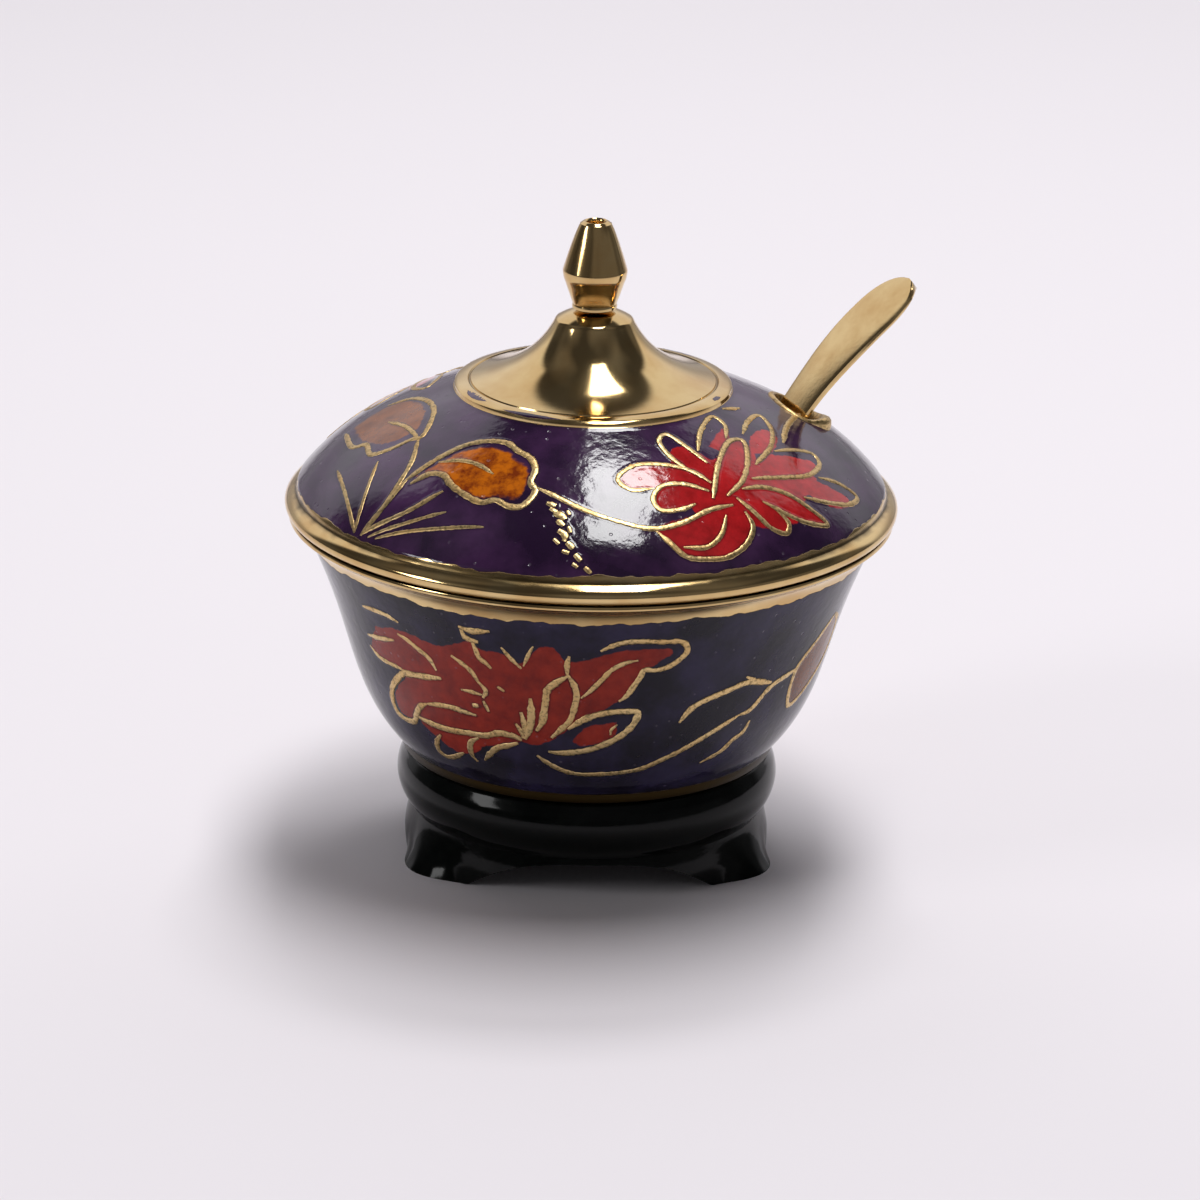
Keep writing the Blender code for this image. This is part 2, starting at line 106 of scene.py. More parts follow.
# The spoon: the tip's height, its lean at the hole and at its end, its roll, lengths and widths
SPOON_TIP_HEIGHT = 18.7
SPOON_LEAN = math.radians(57.5)
SPOON_END_LEAN = math.radians(37.5)
SPOON_ROLL = math.radians(10.0)
SPOON_HANDLE = 23.5
SPOON_END = 7.5
SPOON_BOWL_LENGTH = 17.0
SPOON_BOWL_WIDTH = 12.0
SPOON_DEPTH = 3.0
SHANK_WIDTHS = (3.6, 7.4)
HANDLE_WIDTH = 9.4

# Raised lines: the step of their paths, their taper's length and last share, and their grain
PATH_STEP = 0.35
TAPER_LENGTH = 1.8
TAPER_SHARE = 0.4
LINE_GRAIN = 1900.0

# The floor's half width and what the lights and the camera point at, in metres
FLOOR_HALF = 4.0
LIGHT_TARGET = 0.06
CAMERA_TARGET = 0.045

# Raised lines on the lid: half width, then (bearing, radius) points
LID_SPRAY = {
    "leaf_left": (0.52, ((-91, 33.0), (-78, 32.3), (-75, 31.0), (-68, 31.3), (-64, 29.1), (-62, 26.8),
        (-60, 26.0), (-69, 22.5), (-78, 21.8), (-87, 22.6), (-94, 24.5), (-97, 27.6))),
    "leaf_left_vein": (0.42, ((-81, 27.4), (-71, 26.0), (-60, 26.3))),
    "leaf_left_stalk": (0.48, ((-60, 26.3), (-52, 30.2), (-49, 36.4), (-50, 39.0))),
    "leaf_amber": (0.6, ((-49, 32.0), (-46, 27.4), (-42, 24.4), (-36, 22.9), (-29, 22.6), (-24, 23.6),
        (-19, 24.5), (-16, 26.4), (-16, 28.5), (-14, 29.7), (-16, 32.0), (-19, 32.3), (-23, 31.7),
        (-26, 32.3), (-33, 31.4), (-37, 30.6), (-40, 29.8), (-44, 30.1), (-47, 32.2))),
    "leaf_amber_vein": (0.42, ((-45, 28.2), (-39, 27.0), (-33, 27.0), (-27, 28.0))),
    "leaf_amber_stalk": (0.55, ((-49, 31.6), (-49, 35.6), (-50, 39.0))),
    "grass_1": (0.36, ((-52, 39.0), (-73, 35.1))),
    "grass_2": (0.36, ((-52, 39.0), (-63, 31.5))),
    "grass_3": (0.5, ((-50, 38.9), (-42, 35.2), (-37, 31.9))),
    "grass_4": (0.36, ((-48, 38.9), (-40, 36.3), (-33, 34.3))),
    "grass_5": (0.36, ((-46, 38.8), (-33, 36.3), (-23, 35.2))),
    "stem": (0.48, ((-14, 29.2), (-2, 31.9), (5, 33.3), (13, 34.5), (20, 34.1), (28, 32.9), (34, 32.8))),
    "fleck_1": (0.95, ((-10.5, 31.3), (-8.2, 31.6))),
    "fleck_2": (0.76, ((-9.4, 32.0), (-7.6, 32.5))),
    "fleck_3": (1.04, ((-8.4, 32.6), (-6.4, 32.9), (-5.6, 33.3))),
    "fleck_4": (0.68, ((-5.4, 32.2), (-4.8, 32.7))),
    "fleck_5": (0.95, ((-7.4, 33.5), (-5.8, 34.1))),
    "fleck_6": (0.76, ((-4.8, 34.2), (-4.2, 34.9))),
    "fleck_7": (1.04, ((-6.8, 34.7), (-5.2, 35.3), (-5.4, 35.9))),
    "fleck_8": (0.72, ((-7.6, 35.7), (-6.4, 36.2))),
    "fleck_9": (1.04, ((-4.8, 36.0), (-3.4, 36.6))),
    "fleck_10": (0.76, ((-5.6, 36.9), (-4.2, 37.1))),
    "fleck_11": (0.95, ((-3.0, 37.2), (-1.8, 37.8))),
    "fleck_12": (0.72, ((-3.4, 38.1), (-2.4, 38.4))),
    "fleck_13": (0.8, ((-1.0, 38.4), (0.2, 38.9))),
    "drop": (0.6, ((64, 18.95), (68, 19.6), (73, 20.3))),
    "leaf_side": (0.55, ((67, 27.3), (77, 26.3), (87, 26.6), (97, 28.0))),
    "petal_1": (0.48, ((32, 29.3), (28, 26.8), (18, 25.1), (12, 25.3), (7, 27.4), (10, 29.1),
        (16, 29.1))),
    "petal_2": (0.46, ((35, 26.2), (32, 22.7), (28, 20.3), (24, 21.3), (25, 24.4), (28, 26.8))),
    "petal_3": (0.46, ((35, 24.0), (43, 20.8), (55, 19.4), (55, 21.1), (49, 23.2))),
    "petal_4": (0.48, ((30, 31.5), (39, 26.3), (50, 23.7), (54, 24.3), (49, 26.9), (41, 29.9),
        (34, 31.5))),
    "petal_5": (0.48, ((57, 23.5), (67, 22.3), (76, 22.8), (71, 24.9), (61, 26.8), (49, 28.3))),
    "petal_6": (0.48, ((60, 27.6), (68, 29.0), (72, 30.7), (70, 31.9), (62, 32.3), (54, 31.3),
        (44, 30.0))),
    "petal_7": (0.48, ((64, 33.1), (69, 35.0), (71, 37.0), (66, 37.1), (59, 35.7), (54, 34.3))),
    "petal_8": (0.48, ((39, 31.0), (45, 31.5), (50, 33.2), (53, 35.5), (55, 37.7), (50, 36.9), (46, 35.4),
        (42, 33.2))),
    "petal_9": (0.48, ((36, 32.0), (38, 34.1), (40, 36.3), (43, 37.2), (45, 36.3), (44, 34.6))),
    "petal_10": (0.48, ((36, 33.9), (36, 35.6), (33, 37.2), (28, 38.2), (24, 38.2), (19, 37.7),
        (16, 36.0), (14, 34.8))),
    "petal_11": (0.42, ((31, 33.9), (28, 35.9), (24, 37.0), (19, 36.8))),
    "petal_12": (0.48, ((30, 30.4), (24, 28.8), (18, 28.9), (15, 30.8), (16, 32.2), (21, 32.4),
        (25, 31.9))),
}
LID_RED_PETALS = ("petal_1", "petal_4", "petal_8", "petal_9", "petal_10", "petal_12")
LID_RED = (
    ((24, 25.5), (25, 23.6), (29, 22.8), (33, 23.4), (36, 25.8), (33, 28.5), (28, 27.5)),
    ((40, 23.7), (53, 21.7), (50, 23.7), (43, 25.2)),
    ((59, 24.2), (68, 24.5), (68, 26.2), (57, 27.5), (52, 26.4)),
    ((59, 28.0), (68, 31.7), (59, 32.7), (52, 30.4)),
    ((61, 32.7), (67, 36.8), (61, 36.8), (56, 34.0)),
    ((30, 23.6), (36, 25.9), (41, 25.4), (50, 24.1), (54, 25.5), (51, 28.2), (58, 27.8), (56, 31.0),
        (63, 33.0), (54, 34.5), (48, 36.4), (39, 36.1), (33, 35.0), (24, 33.0), (24, 30.0)),
)
LID_AMBER = (
    ((-47, 31.0), (-44, 28.0), (-41, 25.6), (-36, 24.2), (-29, 23.9), (-24, 24.9), (-18.6, 26.2),
        (-17.2, 28.5), (-17.8, 31.0), (-23, 31.1), (-27, 31.6), (-33, 31.0), (-37, 30.2), (-41, 29.4),
        (-44, 29.6)),
)
LID_ROSE = (
    ((-91, 31.8), (-78, 31.0), (-70, 29.6), (-66, 27.6), (-66, 25.4), (-72, 23.4), (-80, 22.9),
        (-88, 23.7), (-94, 25.6), (-95, 28.5)),
)
LID_BACK = (
    "leaf_amber", "leaf_amber_vein", "leaf_amber_stalk", "grass_3", "grass_4", "grass_5", "stem",
    "fleck_3", "fleck_7", "fleck_9", "petal_1", "petal_2", "petal_3", "petal_4", "petal_5", "petal_6",
    "petal_7", "petal_8", "petal_9", "petal_10", "petal_12",
)
LID_BACK_TURN = 183.0

# Raised lines on the bowl: half width, then (bearing, height) points
BOWL_SPRAY = {
    "stroke_top": (0.45, ((-56, 39.4), (-51.5, 39.7), (-47.5, 39.7), (-44, 39.2))),
    "stroke_short": (0.45, ((-58.5, 34.7), (-53, 35.2), (-47.5, 35.9))),
    "rib_1": (0.45, ((-45.5, 37.2), (-43, 36.8), (-40, 35.8), (-37.5, 34.9), (-36, 33.2))),
    "edge_left": (0.42, ((-59, 33), (-56.5, 32), (-53, 31.7), (-48.5, 31.6), (-46.5, 31.4))),
    "petal_big": (0.58, ((-35, 32.1), (-38.5, 31.8), (-43, 31.4), (-47, 31), (-50.5, 29.5), (-54, 27.4),
        (-55.5, 25.1), (-55, 23.7), (-52, 23.2), (-48, 23.6), (-46.5, 24.8), (-44, 26.5), (-41.5, 27.3))),
    "vein_big": (0.45, ((-41.5, 27.3), (-38, 27.7), (-33.5, 27.9), (-30, 27.7), (-27, 27.5))),
    "outline_low": (0.58, ((-46, 24.6), (-42.5, 24.3), (-38, 24.1), (-33.5, 24.2), (-29.5, 24.4),
        (-25.5, 24.5), (-21.5, 25.3), (-18.5, 25.2), (-16, 24.6))),
    "curl_1": (0.5, ((-39.5, 22.8), (-42, 21.3), (-43, 19.7), (-41, 19), (-37.5, 19.5), (-33.5, 20.7))),
    "curl_2": (0.5, ((-27.5, 23.9), (-30, 23), (-31, 21.7), (-31, 20.5), (-30, 19.7))),
    "curl_3": (0.55, ((-27.5, 20.2), (-25, 21.7), (-22.5, 22.9), (-20, 23.4), (-17, 24.1))),
    "rib_2": (0.5, ((-31, 36.2), (-28.5, 35.3), (-26.5, 34.3), (-25, 32.7))),
    "arrow_1": (0.42, ((-30, 31.1), (-27.5, 31.1), (-24.5, 30.9))),
    "arrow_2": (0.55, ((-25, 32.8), (-23.5, 31.6), (-24.5, 30.5))),
    "dab_1": (0.85, ((-27.5, 29), (-26, 29.1))),
    "dab_2": (0.45, ((-24.5, 30), (-24, 29.2), (-23.5, 28.5))),
    "dab_3": (0.5, ((-20.5, 32.6), (-19, 32))),
    "angle_1": (0.6, ((-27.5, 41.2), (-25, 40.8), (-22.5, 41), (-20.5, 41.2))),
    "angle_2": (0.7, ((-27, 40.8), (-26.5, 39.7), (-25, 39.3), (-23.5, 39.2))),
    "angle_3": (0.5, ((-25, 39.1), (-24.5, 38), (-24, 36.7), (-22.5, 36), (-21.5, 35.3))),
    "rib_3": (0.42, ((-18.5, 38.9), (-16.5, 37.2), (-14.5, 35.9))),
    "rib_4": (0.35, ((-11.5, 39.6), (-12.5, 38.4), (-14, 36.3))),
    "fan_1": (0.6, ((-13, 31.4), (-13, 29.3), (-13.5, 27), (-15, 24.9))),
    "fan_2": (0.5, ((-15.5, 29.1), (-15, 27.6), (-15, 25.6))),
    "fan_3": (0.48, ((-17, 27.2), (-16, 26.2), (-15.5, 25))),
    "fan_4": (0.5, ((-18.5, 25.6), (-16, 24.9))),
    "petal_up_left": (0.58, ((-4.5, 35.2), (-7, 34.1), (-9, 32.9), (-9.5, 31.2), (-10, 29.5),
        (-10.5, 27.9), (-12, 26.4))),
    "petal_up_right": (0.5, ((-4.5, 35.5), (-3, 33.8), (-2.5, 32.3), (-3, 30.4), (-4, 28.4), (-6, 27),
        (-8.5, 25.5))),
    "petal_top": (0.5, ((-4, 38.4), (-4.5, 37.1), (-4.5, 35.5))),
    "vein_right": (0.42, ((10.5, 37.7), (8, 37.4), (5, 36.3), (3, 34.8), (0.5, 33), (-1.5, 31.9))),
    "leaf_right": (0.5, ((2.5, 39.3), (5.5, 40.3), (8, 40.7), (11.5, 40.7), (16, 40.4), (19, 40.3),
        (20.5, 39.6), (21, 38.5), (19.5, 37.3), (17, 36.3), (14, 36), (12, 36.2), (11.5, 35.3),
        (10, 33.6), (8.5, 32.1), (7, 31.4))),
    "petal_low": (0.58, ((-4.5, 27), (-1, 28.5), (2.5, 29.4), (6.5, 29.8), (10, 29.8), (11.5, 29.7),
        (11.5, 28.8), (10.5, 27.5), (8, 26), (5, 24.9), (1, 23.9), (-3.5, 23.3), (-7, 23.1),
        (-9.5, 23.2))),
    "petal_low_dab": (0.35, ((7, 27.8), (5.5, 26.9), (5.5, 26.2))),
    "stem": (0.5, ((-12.5, 22.4), (-10, 21.3), (-6.5, 20.2), (-2.5, 19.6), (3, 19.6), (8.5, 19.8),
        (14, 20.3), (19, 21.5), (24, 22.8), (29.5, 24.4), (34.5, 25.8), (38.5, 26.8))),
    "branch_1": (0.55, ((22, 27.4), (25, 29.6), (34, 31.3), (39, 31.8), (47, 30.6))),
    "barb": (0.48, ((38, 32.8), (43, 31.0))),
    "branch_2": (0.45, ((31, 20.0), (37, 21.5), (39, 22.8), (42, 23.8), (43, 25.4))),
    "stem_end": (0.52, ((38.5, 26.8), (42, 27.2), (47, 29.9), (56, 31.2))),
    "bud": (0.5, ((69, 37.0), (63, 34.5), (56, 30.9), (58, 25.3), (67, 27.0), (75, 31.0), (74, 34.8),
        (69, 37.0))),
}
BOWL_RED = (
    ((-53.5, 36.8), (-47, 37.8), (-42, 38), (-37.5, 37.5), (-33.5, 37.3), (-28.5, 38.4), (-25.5, 39.2),
        (-23.5, 38.1), (-20.5, 38), (-17.5, 37.8), (-15, 36.5), (-13.5, 37), (-11.5, 38.7), (-9.5, 39.7),
        (-7.5, 39.6), (-7, 39.4), (-4.5, 37.5), (-1.5, 37.6), (2, 38.3), (6, 39.2), (10.5, 39.4),
        (15, 39.3), (17.5, 39.2), (18, 38.5), (16, 37.7), (14, 36.7), (12.5, 36.3), (11.5, 35.3),
        (9.5, 33.4), (7.5, 31.5), (6.5, 31.3), (2.5, 29.8), (-2, 28.4), (-4.5, 27), (-9.5, 24.8),
        (-13.5, 24.1), (-14.5, 24.3), (-19, 24.1), (-26, 22.7), (-31, 22.6), (-39.5, 22.1), (-45, 23.7),
        (-45.5, 24.7), (-49, 23.9), (-53, 24.2), (-53.5, 26.1), (-50.5, 28.6), (-47, 30.3), (-47, 31.3),
        (-53, 31.7), (-58, 32.8)),
    ((-3.5, 25), (-2, 26.4), (0.5, 27.6), (4, 28), (6.5, 28.2), (7, 27.1), (6, 25.6), (3, 24.9),
        (-1.5, 24.4)),
    ((-41, 22.6), (-38, 21.0), (-31, 20.8), (-27, 22.6), (-30, 24.2), (-39, 24.2)),
)
BOWL_BACK = (
    "stroke_top", "rib_1", "edge_left", "petal_big", "vein_big", "outline_low", "curl_1", "curl_2",
    "rib_2", "rib_3", "fan_1", "fan_2", "petal_up_left", "petal_up_right", "vein_right", "leaf_right",
    "petal_low", "stem", "stem_end", "branch_1", "branch_2", "bud",
)
BOWL_BACK_TURN = 180.0
BOWL_MEAN_RADIUS = 36.0


def linear(code):
    """The linear colour of an sRGB hex value."""
    shares = np.array([int(code[index : index + 2], 16) / 255 for index in (1, 3, 5)])
    return tuple(np.where(shares <= 0.04045, shares / 12.92, ((shares + 0.055) / 1.055) ** 2.4).tolist())


# Shapes


def between(low, high, share):
    """The value at a share of the way from low to high."""
    return low + (high - low) * share


def eased(low, high, share):
    """The value at a share of the way from low to high, with a soft start and end."""
    share = min(max(share, 0.0), 1.0)
    return between(low, high, share * share * (3.0 - 2.0 * share))


def slope_of(curve, at):
    """A curve's slope, taken over a tenth of a millimetre either way."""
    return (curve(at + 0.1) - curve(at - 0.1)) / 0.2


def crown_height(radius):
    """The dome's height above a radius."""
    share = np.clip((radius - FLANGE_RADIUS) / (CROWN_RADIUS - FLANGE_RADIUS), 0.0, 1.0)
    return CROWN_TOP - CROWN_DROP * (0.69 * share + 0.31 * share**4)


def side_radius(height):
    """The bowl's outer radius at a height of its side."""
    up = np.clip((height - SIDE_BASE) / (SIDE_TOP - SIDE_BASE), 0.0, 1.0)
    return SIDE_BASE_RADIUS + SIDE_SPREAD * (up + 1.19 * up * (1.0 - up) ** 2.7)


def round_the_jar(bearing, radius, height):
    """Points in metres from arrays of bearings, radii and heights."""
    angle = np.radians(bearing + FACING)
    return np.stack([radius * MM * np.cos(angle), radius * MM * np.sin(angle), height * MM], axis=-1)


def bearing_of(angle, start):
    """Bearings in degrees of angles about the axis, counted from start round to start again."""
    return (np.degrees(angle) - FACING - start) % 360.0 + start


def turn_angles(steps):
    """Equal steps of a full turn."""
    return np.radians(np.arange(steps) * 360.0 / steps)


def flowing(points, step):
    """A smooth line through the points, with samples about a step apart."""
    points = np.asarray(points, float)
    if len(points) == 2:
        count = max(int(np.linalg.norm(points[1] - points[0]) / step), 2)
        return points[0] + (points[1] - points[0]) * np.linspace(0, 1, count + 1)[:, None]
    before = 2 * points[0] - points[1]
    after = 2 * points[-1] - points[-2]
    knots = np.vstack([before, points, after])
    out = [points[:1]]
    for index in range(len(points) - 1):
        a, b, c, d = knots[index : index + 4]
        ta = 0.0
        tb = ta + max(np.linalg.norm(b - a), 1e-6) ** 0.5
        tc = tb + max(np.linalg.norm(c - b), 1e-6) ** 0.5
        td = tc + max(np.linalg.norm(d - c), 1e-6) ** 0.5
        count = max(int(np.linalg.norm(c - b) / step), 1)
        t = np.linspace(tb, tc, count + 1)[1:, None]
        ab = (tb - t) / (tb - ta) * a + (t - ta) / (tb - ta) * b
        bc = (tc - t) / (tc - tb) * b + (t - tb) / (tc - tb) * c
        cd = (td - t) / (td - tc) * c + (t - tc) / (td - tc) * d
        abc = (tc - t) / (tc - ta) * ab + (t - ta) / (tc - ta) * bc
        bcd = (td - t) / (td - tb) * bc + (t - tb) / (td - tb) * cd
        out.append((tc - t) / (tc - tb) * abc + (t - tb) / (tc - tb) * bcd)
    return np.vstack(out)


def in_scene(name, data):
    """An object of the data, linked to the scene."""
    obj = bpy.data.objects.new(name, data)
    bpy.context.scene.collection.objects.link(obj)
    return obj


def object_from_mesh(name, mesh, material):
    """An object of the mesh in the scene, with one material."""
    mesh.materials.append(material)
    return in_scene(name, mesh)


def smooth_with_creases(mesh):
    """Shades the mesh smooth but for its sharp edges."""
    mesh.shade_smooth()
    mesh.set_sharp_from_angle(angle=SHARP_ANGLE)


def mesh_from_points(name, points, faces):
    """A smooth mesh of metre points, with sharp edges kept sharp."""
    mesh = bpy.data.meshes.new(name)
    mesh.from_pydata([tuple(point) for point in points], [], faces)
    mesh.validate()
    smooth_with_creases(mesh)
    return mesh


def closed_mesh(name, points, faces):
    """A closed mesh whose faces are all turned outwards."""
    mesh = mesh_from_points(name, points, faces)
    shape = bmesh.new()
    shape.from_mesh(mesh)
    bmesh.ops.recalc_face_normals(shape, faces=shape.faces)
    shape.to_mesh(mesh)
    shape.free()
    return mesh


def turned(name, profile, steps):
    """A mesh turned about Z from (radius, height) points that run from the top down the outer side.

    A radius or a height is a number, or an array of one for each step round.
    """
    angles = turn_angles(steps)
    points = []
    rows = []
    for radius, height in profile:
        if not np.any(radius):
            rows.append([len(points)] * steps)
            points.append((0.0, 0.0, height * MM))
            continue
        rows.append(list(range(len(points), len(points) + steps)))
        level = np.broadcast_to(height * MM, steps)
        ring = np.stack([radius * MM * np.cos(angles), radius * MM * np.sin(angles), level], 1)
        points.extend(ring.tolist())
    return mesh_from_points(name, points, faces_between(rows))


def faces_between(rows):
    """Faces between rings of point numbers, triangles where a ring is one point."""
    faces = []
    for upper, lower in zip(rows, rows[1:]):
        for index in range(len(upper)):
            after = (index + 1) % len(upper)
            corners = [upper[index], lower[index], lower[after], upper[after]]
            faces.append(list(dict.fromkeys(corners)))
    return faces


def evaluated_mesh(obj):
    """The plain mesh that the object's modifiers give."""
    graph = bpy.context.evaluated_depsgraph_get()
    mesh = bpy.data.meshes.new_from_object(obj.evaluated_get(graph))
    obj.modifiers.clear()
    return mesh


# Drawing of the sprays


def lid_flat(points):
    """Plan coordinates of (bearing, radius) points on the dome."""
    points = np.asarray(points, float)
    angle = np.radians(points[:, 0])
    return np.stack([points[:, 1] * np.sin(angle), -points[:, 1] * np.cos(angle)], 1)


def bowl_flat(points):
    """Unrolled coordinates of (bearing, height) points on the bowl's side."""
    points = np.asarray(points, float)
    return np.stack([np.radians(points[:, 0]) * BOWL_MEAN_RADIUS, points[:, 1]], 1)


def lid_surface(flat):
    """Metre points and outward directions on the dome, from plan coordinates."""
    radius = np.hypot(flat[:, 0], flat[:, 1])
    bearing = np.degrees(np.arctan2(flat[:, 0], -flat[:, 1]))
    tilt = np.arctan(-slope_of(crown_height, radius))
    points = round_the_jar(bearing, radius, crown_height(radius))
    return points, outward(bearing, np.sin(tilt), np.cos(tilt))


def bowl_surface(flat):
    """Metre points and outward directions on the bowl's side, from unrolled coordinates."""
    bearing = np.degrees(flat[:, 0] / BOWL_MEAN_RADIUS)
    tilt = np.arctan(slope_of(side_radius, flat[:, 1]))
    points = round_the_jar(bearing, side_radius(flat[:, 1]), flat[:, 1])
    return points, outward(bearing, np.cos(tilt), -np.sin(tilt))


def outward(bearing, level, up):
    """Unit directions from a bearing and their level and upward shares."""
    angle = np.radians(bearing + FACING)
    return np.stack([level * np.cos(angle), level * np.sin(angle), up], 1)


def outlines(flat, polygons, turns):
    """Flat outlines of (bearing, other) polygons, repeated at each turn round the jar."""
    out = []
    for turn in turns:
        for polygon in polygons:
            out.append(flat([(bearing + turn, other) for bearing, other in polygon]))
    return out


def spray_lines(spray, back, turn, slim, flat, surface):
    """Lines of a spray and of its plainer repeat on the back: points, directions and half widths."""
    lines = []
    for name, (half, points) in spray.items():
        turns = (0.0, turn) if name in back else (0.0,)
        for drawn in outlines(flat, [points], turns):
            place, out = surface(flowing(drawn, PATH_STEP))
            steps = np.linalg.norm(np.diff(place, axis=0), axis=1)
            along = np.concatenate([[0.0], np.cumsum(steps)]) / MM
            to_end = np.minimum(along, along[-1] - along)
            taper = TAPER_SHARE + (1.0 - TAPER_SHARE) * to_end / TAPER_LENGTH
            lines.append((place, out, half * slim * np.clip(taper, 0.0, 1.0)))
    return lines


def region_distance(points, polygon):
    """How far inside the polygon each point is; negative outside."""
    ends = np.roll(polygon, -1, axis=0)
    run = ends - polygon
    length = np.maximum((run**2).sum(1), 1e-9)
    off = points[:, None, :] - polygon[None, :, :]
    share = np.clip((off * run).sum(2) / length, 0.0, 1.0)
    distance = np.sqrt(((off - share[..., None] * run) ** 2).sum(2)).min(1)
    above = (polygon[None, :, 1] > points[:, None, 1]) != (ends[None, :, 1] > points[:, None, 1])
    rise = np.where(np.abs(run[:, 1]) < 1e-9, 1e-9, run[:, 1])
    cross = polygon[:, 0] + (points[:, None, 1] - polygon[:, 1]) * run[:, 0] / rise
    inside = (above & (points[:, None, 0] < cross)).sum(1) % 2 == 1
    return np.where(inside, distance, -distance)


def fill_distance(points, polygons):
    """How far inside any of the polygons each point is."""
    best = np.full(len(points), NO_COLOUR)
    for polygon in polygons:
        ring = flowing(np.vstack([polygon, polygon[:1]]), 0.8)[:-1]
        low = ring.min(0) - 3.0
        high = ring.max(0) + 3.0
        near = np.all((points > low) & (points < high), axis=1)
        if near.any():
            best[near] = np.maximum(best[near], region_distance(points[near], ring))
    return best


def line_distance(places, lines):
    """Millimetres from each place to the edge of the nearest raised line."""
    total = sum(len(points) for points, _, _ in lines)
    tree = KDTree(total)
    widths = []
    for points, _, half in lines:
        for place, width in zip(points, half):
            tree.insert(Vector(place), len(widths))
            widths.append(width)
    tree.balance()
    out = np.empty(len(places))
    for index, place in enumerate(places):
        _, nearest, distance = tree.find(place)
        out[index] = distance / MM - widths[nearest]
    return np.clip(out, -2.0, NO_LINE)


def ragged(angle, size, seed):
    """An uneven border round the jar, the same at both ends of the turn."""
    waves = ((5, 0.30), (11, 0.28), (23, 0.25), (41, 0.22), (73, 0.18), (118, 0.14))
    return size * sum(share * np.sin(count * angle + seed * count * 1.7) for count, share in waves)


def points_round(mesh):
    """The mesh's points in metres, and their angles, radii and heights in millimetres."""
    places = np.empty(len(mesh.vertices) * 3, np.float32)
    mesh.vertices.foreach_get("co", places)
    places = places.reshape(-1, 3).astype(float)
    angle = np.arctan2(places[:, 1], places[:, 0])
    return places, angle, np.hypot(places[:, 0], places[:, 1]) / MM, places[:, 2] / MM


def set_field(mesh, name, values):
    """A number in millimetres at each of the mesh's points."""
    field = mesh.attributes.new(name, "FLOAT", "POINT")
    field.data.foreach_set("value", np.asarray(values, np.float32))


def set_fills(mesh, outer, flat, fills):
    """How far inside each colour's outlines the outer points are."""
    for name, polygons in fills.items():
        set_field(mesh, name, np.where(outer, fill_distance(flat, polygons), NO_COLOUR))


# Nodes


def add_node(tree, kind, inputs=None, **settings):
    """A node with its settings; each input gets a value or a link from a socket."""
    node = tree.nodes.new(kind)
    for name, value in settings.items():
        setattr(node, name, value)
    for key, value in (inputs or {}).items():
        if isinstance(value, bpy.types.NodeSocket):
            tree.links.new(value, node.inputs[key])
        else:
            node.inputs[key].default_value = value
    return node


def maths(tree, operation, *values):
    """The result of an operation on sockets or numbers."""
    return add_node(tree, "ShaderNodeMath", dict(enumerate(values)), operation=operation).outputs[0]


def noise(tree, place, scale, detail, roughness=0.5):
    """Noise between 0 and 1; at a scale of 1000 its spots are about a millimetre apart."""
    values = {"Vector": place, "Scale": scale, "Detail": detail, "Roughness": roughness}
    return add_node(tree, "ShaderNodeTexNoise", values).outputs[0]


def ramp(tree, value, low, high, at_low=0.0, at_high=1.0, kind="LINEAR"):
    """A value carried from one range over to another, and held beyond its ends."""
    values = {0: value, 1: low, 2: high, 3: at_low, 4: at_high}
    return add_node(tree, "ShaderNodeMapRange", values, interpolation_type=kind).outputs[0]


def blended(tree, share, first, second):
    """A colour between two, each a socket or a plain colour."""
    values = {0: share}
    for key, colour in ((6, first), (7, second)):
        values[key] = colour if isinstance(colour, bpy.types.NodeSocket) else (*colour, 1.0)
    return add_node(tree, "ShaderNodeMix", values, data_type="RGBA").outputs[2]


def mixed(tree, share, first, second):
    """A number between two, each a socket or a plain number."""
    return add_node(tree, "ShaderNodeMix", {0: share, 2: first, 3: second}, data_type="FLOAT").outputs[0]


# Raised lines as Geometry Nodes


